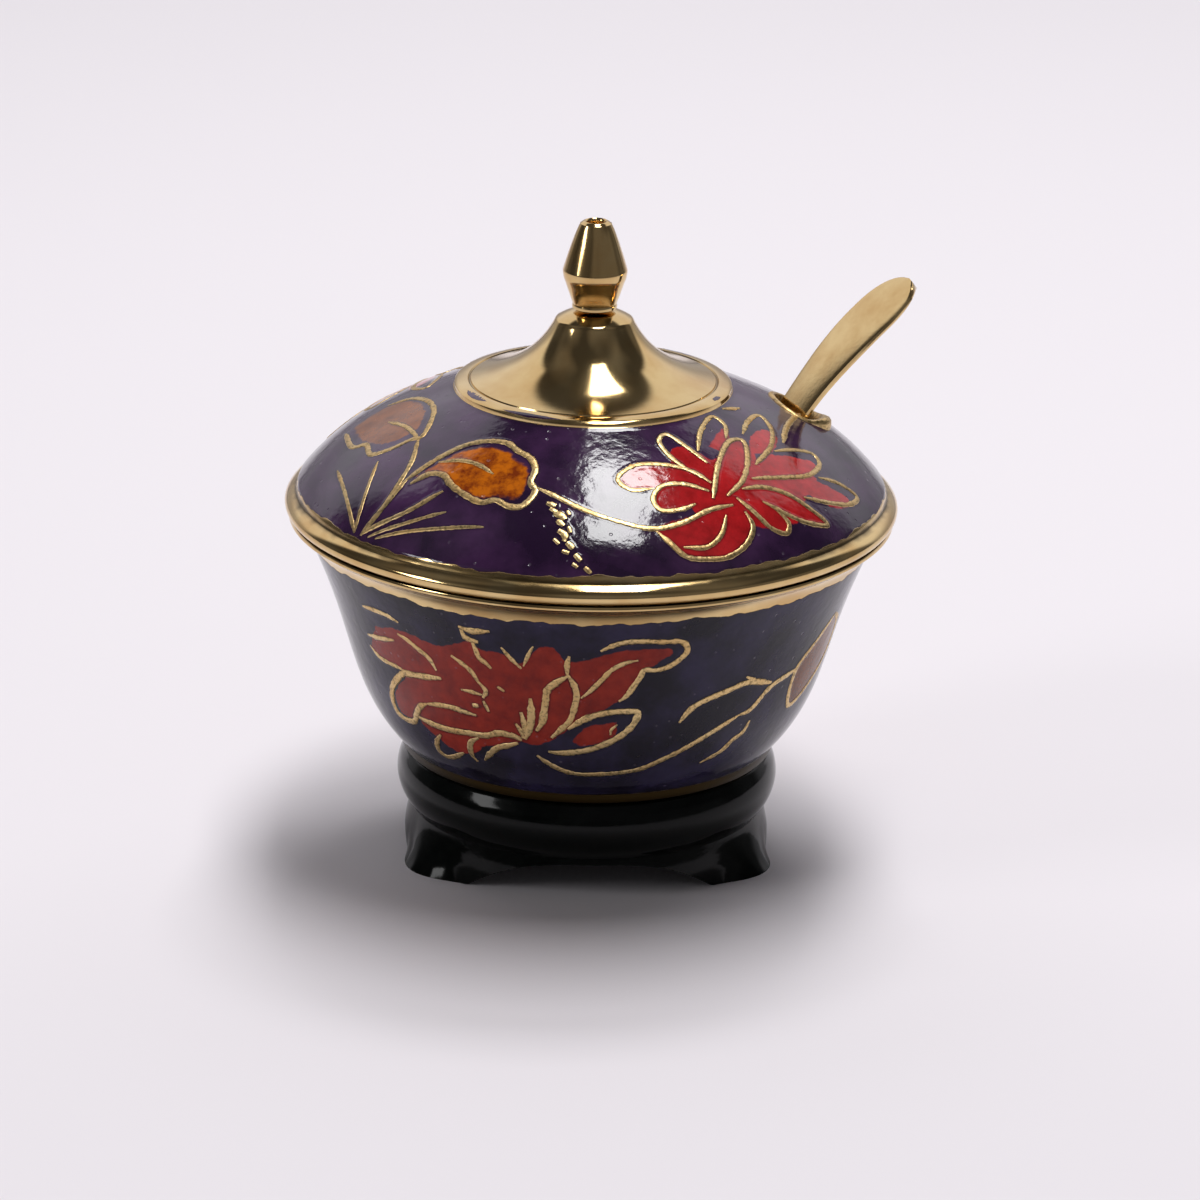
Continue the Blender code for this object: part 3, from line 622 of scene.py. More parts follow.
def raised_line_tree():
    """A tree that turns edges into flattened brass lines that stand on a surface."""
    tree = bpy.data.node_groups.new("Raised brass line", "GeometryNodeTree")
    sockets = {"Edges": "Geometry", "Spacing": "Float", "Sink": "Float", "Fullness": "Float",
               "Unevenness": "Float", "Grain": "Float", "Brass": "Material"}
    for name, kind in sockets.items():
        tree.interface.new_socket(name=name, in_out="INPUT", socket_type="NodeSocket" + kind)
    tree.interface.new_socket(name="Lines", in_out="OUTPUT", socket_type="NodeSocketGeometry")
    given = add_node(tree, "NodeGroupInput").outputs
    named = "GeometryNodeInputNamedAttribute"
    width = add_node(tree, named, {"Name": "half_width"}, data_type="FLOAT").outputs[0]
    out = add_node(tree, named, {"Name": "outward"}, data_type="FLOAT_VECTOR").outputs[0]
    curve = add_node(tree, "GeometryNodeMeshToCurve", {"Mesh": given["Edges"]})
    even = add_node(tree, "GeometryNodeResampleCurve",
                    {"Curve": curve.outputs[0], "Length": given["Spacing"]}, mode="LENGTH")
    place = add_node(tree, "GeometryNodeInputPosition").outputs[0]
    centred = maths(tree, "SUBTRACT", noise(tree, place, given["Grain"], 2.0), 0.5)
    uneven = maths(tree, "MULTIPLY", centred, given["Unevenness"])
    radius = maths(tree, "MULTIPLY", maths(tree, "MULTIPLY_ADD", uneven, 3.0, 1.0), width)
    faced = add_node(tree, "GeometryNodeSetCurveNormal", {"Curve": even.outputs[0]}, mode="FREE")
    tree.links.new(out, faced.inputs["Normal"])
    lower = maths(tree, "MULTIPLY", given["Sink"], -1.0)
    shift = add_node(tree, "ShaderNodeVectorMath", {0: out, "Scale": lower}, operation="SCALE")
    sunk = add_node(tree, "GeometryNodeSetPosition",
                    {"Geometry": faced.outputs[0], "Offset": shift.outputs[0]})
    circle = add_node(tree, "GeometryNodeCurvePrimitiveCircle", {"Resolution": 10, "Radius": 1.0})
    shape = add_node(tree, "ShaderNodeCombineXYZ", {0: given["Fullness"], 1: 1.0, 2: 1.0})
    flat = add_node(tree, "GeometryNodeTransform",
                    {"Geometry": circle.outputs[0], "Scale": shape.outputs[0]})
    swept = add_node(tree, "GeometryNodeCurveToMesh",
                     {"Curve": sunk.outputs[0], "Profile Curve": flat.outputs[0], "Scale": radius,
                      "Fill Caps": True})
    smooth = add_node(tree, "GeometryNodeSetShadeSmooth", {"Geometry": swept.outputs[0]})
    real = add_node(tree, "GeometryNodeRealizeInstances", {"Geometry": smooth.outputs[0]})
    brass = add_node(tree, "GeometryNodeSetMaterial",
                     {"Geometry": real.outputs[0], "Material": given["Brass"]})
    add_node(tree, "NodeGroupOutput", {0: brass.outputs[0]})
    return tree


def raised_lines(name, lines, sizes, fullness, material):
    """One mesh of raised brass lines from their points, directions and half widths."""
    tree = bpy.data.node_groups.get("Raised brass line") or raised_line_tree()
    places = np.vstack([points for points, _, _ in lines])
    edges = []
    start = 0
    for points, _, _ in lines:
        edges += [(start + index, start + index + 1) for index in range(len(points) - 1)]
        start += len(points)
    mesh = bpy.data.meshes.new(name + "_paths")
    mesh.from_pydata([tuple(place) for place in places], edges, [])
    half = mesh.attributes.new("half_width", "FLOAT", "POINT")
    widths = np.concatenate([width for _, _, width in lines])
    half.data.foreach_set("value", widths.astype(np.float32) * MM)
    out = mesh.attributes.new("outward", "FLOAT_VECTOR", "POINT")
    directions = np.vstack([direction for _, direction, _ in lines])
    out.data.foreach_set("vector", directions.astype(np.float32).ravel())
    paths = in_scene(name + "_paths", mesh)
    modifier = paths.modifiers.new("raised lines", "NODES")
    modifier.node_group = tree
    values = {"Spacing": sizes.line_spacing, "Sink": sizes.line_sink, "Fullness": fullness,
              "Unevenness": sizes.line_unevenness, "Grain": LINE_GRAIN, "Brass": material}
    for item in tree.interface.items_tree:
        if item.in_out == "INPUT" and item.name in values:
            modifier[item.identifier] = values[item.name]
    result = evaluated_mesh(paths)
    bpy.data.objects.remove(paths, do_unlink=True)
    result.name = name
    if not result.polygons:
        raise RuntimeError(f"{name}: no faces came out")
    return in_scene(name, result)


# Materials


def new_material(name):
    """A material with an empty tree, and its Principled shader."""
    material = bpy.data.materials.new(name)
    material.use_nodes = True
    tree = material.node_tree
    shader = tree.nodes["Principled BSDF"]
    return material, tree, shader


def object_place(tree):
    """The place on the object, in metres."""
    return add_node(tree, "ShaderNodeTexCoord").outputs["Object"]


def field_value(tree, name):
    """A distance field of the mesh, in millimetres."""
    return add_node(tree, "ShaderNodeAttribute", attribute_name=name).outputs["Fac"]


def set_relief(tree, shader, height):
    """Bends the shader's normal by a height in millimetres."""
    bump = add_node(tree, "ShaderNodeBump", {"Strength": 1.0, "Distance": MM, "Height": height})
    tree.links.new(bump.outputs[0], shader.inputs["Normal"])


def turning_marks(tree, place):
    """Noise 0.4 mm wide that runs round the axis, as the marks of a lathe tool do."""
    flat = add_node(tree, "ShaderNodeVectorMath", {0: place, 1: (1.0, 1.0, 0.0)}, operation="MULTIPLY")
    radius = add_node(tree, "ShaderNodeVectorMath", {0: flat.outputs[0]}, operation="LENGTH")
    split = add_node(tree, "ShaderNodeSeparateXYZ", {0: place})
    line = {0: radius.outputs["Value"], 1: split.outputs[2], 2: 0.0}
    return noise(tree, add_node(tree, "ShaderNodeCombineXYZ", line).outputs[0], 2600.0, 3.0, 0.6)


def polished_brass(name, colours, marks):
    """Brass turned and buffed by hand: warm pale gold, with faint tool marks and a few duller patches."""
    material, tree, shader = new_material(name)
    place = object_place(tree)
    # Handling dulls the brass in patches about 5 mm wide
    patches = noise(tree, place, 190.0, 5.0, 0.6)
    finish = blended(tree, ramp(tree, patches, 0.35, 0.7), colours.brass, colours.brass_dull)
    smooth, dull = 0.07, 0.17
    if marks == "cast":
        # Tarnish stays in the grain of the casting, about 0.4 mm wide
        dulled = ramp(tree, noise(tree, place, 2400.0, 3.0), 0.36, 0.50, 0.55, 0.0)
        finish = blended(tree, dulled, finish, colours.tarnish_and_shade)
        smooth, dull = 0.30, 0.46
    tree.links.new(finish, shader.inputs["Base Color"])
    tree.links.new(ramp(tree, patches, 0.3, 0.75, smooth, dull), shader.inputs["Roughness"])
    shader.inputs["Metallic"].default_value = 1.0
    # Depth of the marks in millimetres
    depth = {"turned": 0.003, "cast": 0.06, "hammered": 0.008}[marks]
    height = turning_marks(tree, place) if marks == "turned" else noise(tree, place, 1500.0, 4.0)
    set_relief(tree, shader, maths(tree, "MULTIPLY", height, depth))
    return material


def border(tree, field, wobble, reach, soft):
    """1 inside a region and 0 outside, from its distance field with an uneven edge."""
    uneven = maths(tree, "MULTIPLY_ADD", wobble, reach, field_value(tree, field))
    return ramp(tree, uneven, -soft, soft, kind="SMOOTHSTEP")


def enamelled_brass(name, colours, ground, ground_light, red, red_light, gloss):
    """Glass enamel fired between raised brass lines on spun brass: glossy, cloudy and pitted."""
    material, tree, shader = new_material(name)
    place = object_place(tree)
    wobble = maths(tree, "SUBTRACT", noise(tree, place, 900.0, 3.0), 0.5)
    # Clouds about 8 mm wide in the ground, and patches about 2.5 mm wide in the colours
    cloudy = ramp(tree, noise(tree, place, 130.0, 4.0, 0.55), 0.38, 0.66)
    mottle = noise(tree, place, 420.0, 5.0, 0.65)
    patchy = ramp(tree, mottle, 0.28, 0.72)
    streaks = ramp(tree, mottle, 0.38, 0.58)
    colour = blended(tree, cloudy, ground, ground_light)
    # Each colour's field, the unevenness and the softness of its edge in millimetres, and its fill
    fills = (
        ("red", 0.8, 0.12, patchy, red, red_light),
        ("amber", 1.2, 0.25, streaks, colours.amber_deep, colours.amber),
        ("rose", 1.0, 0.2, patchy, colours.rose_deep, colours.rose),
    )
    for field, reach, soft, share, deep, light in fills:
        inside = border(tree, field, wobble, reach, soft)
        colour = blended(tree, inside, colour, blended(tree, share, deep, light))
    # The enamel sinks beside the lines; painted shade darkens it there, standing for the lines' shadow
    edge = field_value(tree, "line")
    painted_line_shade = ramp(tree, edge, 0.0, 0.32, 0.75, 0.0, "SMOOTHSTEP")
    colour = blended(tree, maths(tree, "MULTIPLY", painted_line_shade, cloudy), colour, linear("#150c12"))
    # Pits and bubbles about 0.3 mm wide, ground open and grey
    cells = add_node(tree, "ShaderNodeTexVoronoi", {"Vector": place, "Scale": 480.0}).outputs["Distance"]
    pit = ramp(tree, cells, 0.07, 0.12, 1.0, 0.0)
    faint = maths(tree, "MULTIPLY", maths(tree, "MULTIPLY", pit, patchy), 0.22)
    colour = blended(tree, faint, colour, linear("#8d8390"))
    in_enamel = border(tree, "enamel", wobble, 0.3, 0.05)
    # Painted shade: this field darkens the brass at the lid's seam and flange step and over the bowl's
    # foot ring, and in the band's groove
    tarnish_and_shade = field_value(tree, "tarnish_and_shade")
    brass = blended(tree, cloudy, colours.brass, colours.brass_dull)
    brass = blended(tree, tarnish_and_shade, brass, colours.tarnish_and_shade)
    tree.links.new(blended(tree, in_enamel, brass, colour), shader.inputs["Base Color"])
    tree.links.new(maths(tree, "SUBTRACT", 1.0, in_enamel), shader.inputs["Metallic"])
    dulled = ramp(tree, tarnish_and_shade, 0.0, 1.0, 0.10, 0.38)
    tree.links.new(mixed(tree, in_enamel, dulled, 0.10), shader.inputs["Roughness"])
    shader.inputs["Specular IOR Level"].default_value = gloss
    # Ripples of the fired surface about 1.5 mm apart, its pits, and its climb up the lines
    ripples = maths(tree, "MULTIPLY", noise(tree, place, 620.0, 3.0), 0.045)
    climb = ramp(tree, edge, 0.0, 0.4, 0.018, 0.0, "SMOOTHSTEP")
    opened = maths(tree, "MULTIPLY_ADD", pit, -0.03, maths(tree, "ADD", ripples, climb))
    raised = maths(tree, "ADD", opened, 0.06)
    marks = maths(tree, "MULTIPLY", turning_marks(tree, place), 0.003)
    set_relief(tree, shader, mixed(tree, in_enamel, marks, raised))
    return material


def black_lacquer(name, colours):
    """Turned hardwood under black lacquer: deep gloss, with the grain only just telegraphing through."""
    material, tree, shader = new_material(name)
    place = object_place(tree)
    # Grain about 1 mm wide and 7 mm long
    along = add_node(tree, "ShaderNodeMapping", {"Vector": place, "Scale": (1.0, 0.15, 1.0)}).outputs[0]
    grain = noise(tree, along, 900.0, 4.0)
    tone = blended(tree, ramp(tree, grain, 0.4, 0.7), colours.lacquer, colours.lacquer_light)
    tree.links.new(tone, shader.inputs["Base Color"])
    rough = ramp(tree, noise(tree, place, 260.0, 4.0), 0.3, 0.75, 0.07, 0.15)
    tree.links.new(rough, shader.inputs["Roughness"])
    shader.inputs["Specular IOR Level"].default_value = 0.14
    set_relief(tree, shader, maths(tree, "MULTIPLY", grain, 0.012))
    return material


def pale_floor(name, colour):
    """Matt white paper board, very slightly uneven in tone."""
    material, tree, shader = new_material(name)
    cloud = noise(tree, object_place(tree), 3.0, 2.0)
    darker = tuple(0.97 * share for share in colour)
    tree.links.new(blended(tree, cloud, colour, darker), shader.inputs["Base Color"])
    shader.inputs["Roughness"].default_value = 0.75
    return material


# Properties

COLOUR = {"subtype": "COLOR", "size": 3, "min": 0, "max": 1}
POWER = {"unit": "POWER", "min": 0.0, "max": 100.0}
LENGTH = {"unit": "LENGTH", "precision": 5}


class JarColours(bpy.types.PropertyGroup):
    """Colours of the jar's finishes."""

    aubergine: bpy.props.FloatVectorProperty(
        name="Aubergine", description="The lid's enamel ground", default=linear("#220f2a"), **COLOUR)
    aubergine_light: bpy.props.FloatVectorProperty(
        name="Light aubergine", description="Thinner parts of the lid's ground",
        default=linear("#3f2346"), **COLOUR)
    slate: bpy.props.FloatVectorProperty(
        name="Slate", description="The bowl's enamel ground", default=linear("#16121f"), **COLOUR)
    slate_light: bpy.props.FloatVectorProperty(
        name="Light slate", description="Thinner parts of the bowl's ground", default=linear("#2b2540"),
        **COLOUR)
    lid_red: bpy.props.FloatVectorProperty(
        name="Lid red", description="Deep red of the lid's flower", default=linear("#860d10"), **COLOUR)
    lid_red_light: bpy.props.FloatVectorProperty(
        name="Light lid red", description="Bright red of the lid's flower", default=linear("#bb1d22"),
        **COLOUR)
    bowl_red: bpy.props.FloatVectorProperty(
        name="Bowl red", description="Deep red of the bowl's flower", default=linear("#701810"), **COLOUR)
    bowl_red_light: bpy.props.FloatVectorProperty(
        name="Light bowl red", description="Bright red of the bowl's flower", default=linear("#982a1a"),
        **COLOUR)
    amber: bpy.props.FloatVectorProperty(
        name="Amber", description="Bright amber of the leaf", default=linear("#bc6208"), **COLOUR)
    amber_deep: bpy.props.FloatVectorProperty(
        name="Deep amber", description="Deep amber of the leaf", default=linear("#742c05"), **COLOUR)
    rose: bpy.props.FloatVectorProperty(
        name="Rose brown", description="Light part of the left leaf", default=linear("#8c4c16"), **COLOUR)
    rose_deep: bpy.props.FloatVectorProperty(
        name="Deep rose brown", description="Deep part of the left leaf", default=linear("#5c2a0a"),
        **COLOUR)
    brass: bpy.props.FloatVectorProperty(
        name="Brass", description="Polished brass", default=linear("#dcc08a"), **COLOUR)
    # Besides real tarnish in the cast grain, this colour is the painted shade at the lid's seam and flange
    # step and on the bowl's foot ring
    tarnish_and_shade: bpy.props.FloatVectorProperty(
        name="Tarnish", description="Brass that polishing doesn't reach", default=linear("#2b2110"),
        **COLOUR)
    brass_dull: bpy.props.FloatVectorProperty(
        name="Dull brass", description="Handled brass", default=linear("#cda970"), **COLOUR)
    lacquer: bpy.props.FloatVectorProperty(
        name="Lacquer", description="The stand's black lacquer", default=linear("#030504"), **COLOUR)
    lacquer_light: bpy.props.FloatVectorProperty(
        name="Light lacquer", description="Lacquer over the lighter grain", default=linear("#090c0a"),
        **COLOUR)


class JarSizes(bpy.types.PropertyGroup):
    """Sizes of the details."""

    line_spacing: bpy.props.FloatProperty(
        name="Line spacing", description="Distance between the sections of a raised line",
        default=0.00032, min=0.0001, max=0.002, **LENGTH)
    line_sink: bpy.props.FloatProperty(
        name="Line sink", description="How deep the middle of a raised line sits", default=0.00001,
        min=0.0, max=0.001, **LENGTH)
    lid_line_slimness: bpy.props.FloatProperty(
        name="Lid line slimness", description="Width of the lid's lines as a share of the drawn widths",
        subtype="FACTOR", default=0.80, min=0.3, max=1.5)
    bowl_line_slimness: bpy.props.FloatProperty(
        name="Bowl line slimness", description="Width of the bowl's lines as a share of the drawn widths",
        subtype="FACTOR", default=0.88, min=0.3, max=1.5)
    lid_line_fullness: bpy.props.FloatProperty(
        name="Lid line fullness", description="Height of the lid's lines as a share of their width",
        subtype="FACTOR", default=0.22, min=0.1, max=1.5)
    bowl_line_fullness: bpy.props.FloatProperty(
        name="Bowl line fullness", description="Height of the bowl's lines as a share of their width",
        subtype="FACTOR", default=0.16, min=0.1, max=1.5)
    line_unevenness: bpy.props.FloatProperty(
        name="Line unevenness", description="How much the lines' width varies", subtype="FACTOR",
        default=0.34, min=0.0, max=1.0)
    lip_rise: bpy.props.FloatProperty(
        name="Lip rise", description="How far the spoon hole's lip stands up", default=0.0003, min=0.0,
        max=0.002, **LENGTH)
    lip_width: bpy.props.FloatProperty(
        name="Lip width", description="Width of the spoon hole's lip", default=0.0008, min=0.0004,
        max=0.002, **LENGTH)


class JarStage(bpy.types.PropertyGroup):
    """Floor, light and camera."""

    floor: bpy.props.FloatVectorProperty(
        name="Floor", description="Colour of the floor", default=linear("#e4dfe4"), **COLOUR)
    softbox: bpy.props.FloatProperty(
        name="Softbox", description="Power of the softbox overhead", default=7.3, **POWER)
    back_light: bpy.props.FloatProperty(
        name="Back light", description="Power of the lamp behind the jar", default=4.9, **POWER)
    window: bpy.props.FloatProperty(
        name="Window", description="Power of the window at the left front", default=3.2, **POWER)
    room: bpy.props.FloatProperty(
        name="Room", description="Brightness of the pale sweep behind", default=0.95, min=0.0, max=10.0)
    distance: bpy.props.FloatProperty(
        name="Distance", description="Camera's distance from the jar's middle", unit="LENGTH",
        default=0.8044, min=0.2, max=5.0)
    elevation: bpy.props.FloatProperty(
        name="Elevation", description="Camera's angle above the floor", subtype="ANGLE",
        default=math.radians(18.432), min=0.0, max=1.5)
    roll: bpy.props.FloatProperty(
        name="Roll", description="Camera's turn about its own line of sight", subtype="ANGLE",
        default=math.radians(0.99), min=-0.5, max=0.5)


# Pieces


class JAR_OT_stand(bpy.types.Operator):
    """Build the black lacquered stand"""

    bl_idname = "jar.stand"
    bl_label = "Stand"

    def execute(self, context):
        """Builds a turned collar over an apron that arches divide into three feet."""
        material = black_lacquer("black lacquered wood", context.scene.jar_colours)
        mesh = turned("lacquered_stand", stand_profile(), STAND_STEPS)
        stand = object_from_mesh("lacquered_stand", mesh, material)
        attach(stand, "root")
        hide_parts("stand")
        return {"FINISHED"}


def stand_profile():
    """The stand: a bead over a neck, and an apron whose lower edge follows the arches."""
    angles = turn_angles(STAND_STEPS)
    first_leg = math.radians(LEG_DIRECTION)
    off_leg = np.clip(off_nearest(angles, first_leg) / TOE_HALF_ANGLE, -1.0, 1.0)
    spread = np.cos(np.pi / 2 * off_leg) ** 1.6
    arch_off = off_nearest(angles, first_leg + LEG_PITCH / 2)
    outer_foot = apron_edge(arch_off, 24.6)
    inner_foot = apron_edge(arch_off, HOLLOW_RADIUS)
    bead = [(24.7, 13.3), (25.4, 11.9), (25.7, 10.2), (25.5, 8.7), (24.9, 7.2), (24.2, 6.2),
            (23.9, APRON_TOP)]
    rows = [(0.0, STAND_TOP), (8.0, STAND_TOP), (16.0, STAND_TOP), (22.0, STAND_TOP), (24.0, STAND_TOP),
            (24.3, 13.74), (24.55, 13.56)]
    rows += [tuple(point) for point in flowing(bead, 0.22)]
    for share in np.linspace(0.0, 1.0, 13)[1:]:
        height = between(APRON_TOP, outer_foot, share)
        rows.append((apron_radius(height, spread), height))
    for out, up in ((-0.12, -0.04), (-0.35, -0.07)):
        rows.append((apron_radius(outer_foot, spread) + out, np.maximum(outer_foot + up, 0.0)))
    rows += [(HOLLOW_RADIUS + 0.3, inner_foot), (HOLLOW_RADIUS, inner_foot + 0.2), (HOLLOW_RADIUS, 7.2),
             (HOLLOW_RADIUS, HOLLOW_TOP), (10.0, HOLLOW_TOP), (0.0, HOLLOW_TOP)]
    return rows


def off_nearest(angles, first):
    """How far each angle is from the nearest of three equally spaced directions."""
    return (angles - first + LEG_PITCH / 2) % LEG_PITCH - LEG_PITCH / 2


def apron_edge(arch_off, radius):
    """The height of the apron's lower edge at angles from the nearest arch's middle."""
    across = np.abs(radius * np.sin(arch_off)) / ARCH_HALF_WIDTH
    return ARCH_HEIGHT * (1.0 - np.minimum(across, 1.0) ** 3)


def apron_radius(height, spread):
    """The apron's outer radius, with the toes drawn outwards."""
    down = np.clip(1.0 - height / APRON_TOP, 0.0, 1.0)
    skirt = np.interp(down, (0.0, 0.28, 0.6, 1.0), (23.9, 24.3, 24.66, 24.8))
    return skirt + TOE_REACH * spread * down**2


class JAR_OT_bowl(bpy.types.Operator):
    """Build the enamelled bowl and its raised lines"""

    bl_idname = "jar.bowl"
    bl_label = "Bowl"

    def execute(self, context):
        """Turns the bowl, marks its enamelled fields and lays the brass lines on it."""
        colours = context.scene.jar_colours
        sizes = context.scene.jar_sizes
        material = enamelled_brass("enamelled brass bowl", colours, colours.slate, colours.slate_light,
                                   colours.bowl_red, colours.bowl_red_light, 0.22)
        mesh = turned("enamelled_bowl", bowl_profile(), ROUND_STEPS)
        lines = spray_lines(BOWL_SPRAY, BOWL_BACK, BOWL_BACK_TURN, sizes.bowl_line_slimness, bowl_flat,
                            bowl_surface)
        mark_bowl(mesh, lines)
        bowl = object_from_mesh("enamelled_bowl", mesh, material)
        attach(bowl, "root")
        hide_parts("bowl")
        relief = raised_lines("bowl_lines", lines, sizes, sizes.bowl_line_fullness, line_material(colours))
        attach(relief, "root")
        return {"FINISHED"}


def mark_bowl(mesh, lines):
    """Writes the bowl's enamelled fields and the distance to its lines."""
    places, angle, radius, height = points_round(mesh)
    # The outer skin is the side and, above 44 mm, the flare of the rim
    outer = radius > np.where(height < 44.0, side_radius(height), 37.6) - 0.5
    # The enamel ends raggedly below the rim and above the foot ring
    top = 43.5 + ragged(angle, 0.38, 3.0) - height
    foot = height - 15.5 + ragged(angle, 0.15, 5.0)
    set_field(mesh, "enamel", np.where(outer & (height > 14.6), np.minimum(top, foot), NO_ENAMEL))
    flat = bowl_flat(np.stack([bearing_of(angle, -90.0), height], 1))
    turns = (0.0, BOWL_BACK_TURN)
    set_fills(mesh, outer, flat, {
        "red": outlines(bowl_flat, BOWL_RED, turns),
        "amber": [],
        "rose": outlines(bowl_flat, [BOWL_SPRAY["bud"][1]], turns),
    })
    set_field(mesh, "line", np.where(outer, line_distance(places, lines), NO_LINE))
    # Painted dark reflection: the foot ring is darkened up to its upper corner, standing for the black
    # stand and shadowed floor its brass reflects
    set_field(mesh, "tarnish_and_shade", np.clip((16.6 - height) / 0.5, 0.0, 1.0) * (radius > 24.0))


def bowl_profile():
    """The bowl from the middle of its floor, up inside, over the rim and down outside."""
    down = np.linspace(SIDE_TOP, SIDE_BASE, 70)
    outer = list(zip(side_radius(down).tolist(), down.tolist()))
    up = np.linspace(17.8, SIDE_TOP, 12)
    inner = list(zip((side_radius(up) - 1.5).tolist(), up.tolist()))
    return (
        [(0.0, 16.4), (12.0, 16.4), (22.4, 16.4), (23.4, 16.5), (24.2, 16.9)]
        + inner
        + [(36.6, 44.4), (37.7, 45.8), (38.9, 46.6), (39.6, 46.84), (40.1, 46.88), (40.38, 46.8),
           (40.5, 46.55), (40.48, 46.3), (40.3, 46.12), (39.95, 45.98), (39.5, 45.76), (38.95, 45.38),
           (38.5, 44.95), (38.1, 44.45), (37.83, 44.0), (37.6, 43.5)]
        + outer
        + [(25.42, 15.5), (25.25, 15.42), (25.1, 15.4), (25.1, 15.0), (25.1, 14.4), (25.0, 14.18),
           (24.8, 14.1), (23.1, 14.1), (22.9, 14.2), (22.9, 15.0), (12.0, 15.0), (0.0, 15.0)]
    )


def line_material(colours):
    """The brass of the raised lines, left with the grain of its casting."""
    name = "raised line brass"
    return bpy.data.materials.get(name) or polished_brass(name, colours, "cast")


class JAR_OT_lid(bpy.types.Operator):
    """Build the enamelled lid, its raised lines and the lip of the spoon's hole"""

    bl_idname = "jar.lid"
    bl_label = "Lid"

    def execute(self, context):
        """Turns the lid, cuts the spoon's hole, marks the enamelled fields and lays the brass lines."""
        colours = context.scene.jar_colours
        sizes = context.scene.jar_sizes
        material = enamelled_brass("enamelled brass lid", colours, colours.aubergine,
                                   colours.aubergine_light, colours.lid_red, colours.lid_red_light, 0.6)
        mesh = turned("enamelled_lid", lid_profile(), ROUND_STEPS)
        lid = object_from_mesh("enamelled_lid", mesh, material)
        cut_hole(lid)
        smooth_with_creases(lid.data)
        lines = spray_lines(LID_SPRAY, LID_BACK, LID_BACK_TURN, sizes.lid_line_slimness, lid_flat,
                            lid_surface)
        mark_lid(lid.data, lines)
        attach(lid, "root")
        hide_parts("lid")
        relief = raised_lines("lid_lines", lines, sizes, sizes.lid_line_fullness, line_material(colours))
        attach(relief, "root")
        solder = polished_brass("soldered brass lip", colours, "cast")
        lip = object_from_mesh("spoon_hole_lip", lip_mesh(sizes), solder)
        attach(lip, "root")
        return {"FINISHED"}


def mark_lid(mesh, lines):
    """Writes the lid's enamelled fields, the distance to its lines, and where its brass is darkened."""
    places, angle, radius, height = points_round(mesh)
    outer = (height > crown_height(radius) - 0.7) & (radius > 17.0) & (height > 49.5)
    bearing = bearing_of(angle, -180.0)
    # The enamel starts at the flange, where its edge is crisp, and ends raggedly above the band
    border_top = (radius - 18.6) * 4.0
    border_foot = (height - 50.45 + ragged(angle, 0.35, 2.0)) / 0.8
    enamel = np.maximum(np.minimum(border_top, border_foot), smear_distance(bearing, radius))
    set_field(mesh, "enamel", np.where(outer, enamel, NO_ENAMEL))
    flat = lid_flat(np.stack([bearing, radius], 1))
    turns = (0.0, LID_BACK_TURN)
    set_fills(mesh, outer, flat, {
        "red": outlines(lid_flat, [LID_SPRAY[name][1] for name in LID_RED_PETALS] + list(LID_RED), turns),
        "amber": outlines(lid_flat, LID_AMBER, turns),
        "rose": outlines(lid_flat, LID_ROSE, (0.0,)),
    })
    set_field(mesh, "line", np.where(outer, line_distance(places, lines), NO_LINE))
    # Painted shade darkens the seam under the band and the step round the flange, where their shadow lines
    # fall; the band's groove is darkened too
    groove = 1.0 - np.abs(height - BAND_GROOVE) / 0.45 + 0.4 * ragged(angle, 1.0, 4.0)
    seam = 1.0 - np.abs(height - BAND_SEAM) / 0.3
    band = np.where(radius > 39.0, np.maximum(groove, seam), 0.0)
    step = 0.8 - np.abs(radius - FLANGE_STEP) / 0.2
    ring = np.where((np.abs(radius - FLANGE_STEP) < 0.5) & (height > 64.0), step, 0.0)
    set_field(mesh, "tarnish_and_shade", np.clip(np.maximum(band, ring), 0.0, 0.85))


def smear_distance(bearing, radius):
    """Smears of enamel left on the cap's flange: how far inside one each point is."""
    best = np.full(len(bearing), NO_COLOUR)
    smears = ((-62, 10, 17.6, 0.5), (-27, 15, 17.95, 0.42), (66, 5, 17.8, 0.35), (140, 12, 17.8, 0.4),
              (-150, 8, 17.6, 0.35))
    for middle, spread, ring, width in smears:
        off = ((bearing - middle + 180.0) % 360.0 - 180.0) / spread
        best = np.maximum(best, 2.5 * (width * (1.0 - off**2) - np.abs(radius - ring)))
    return best


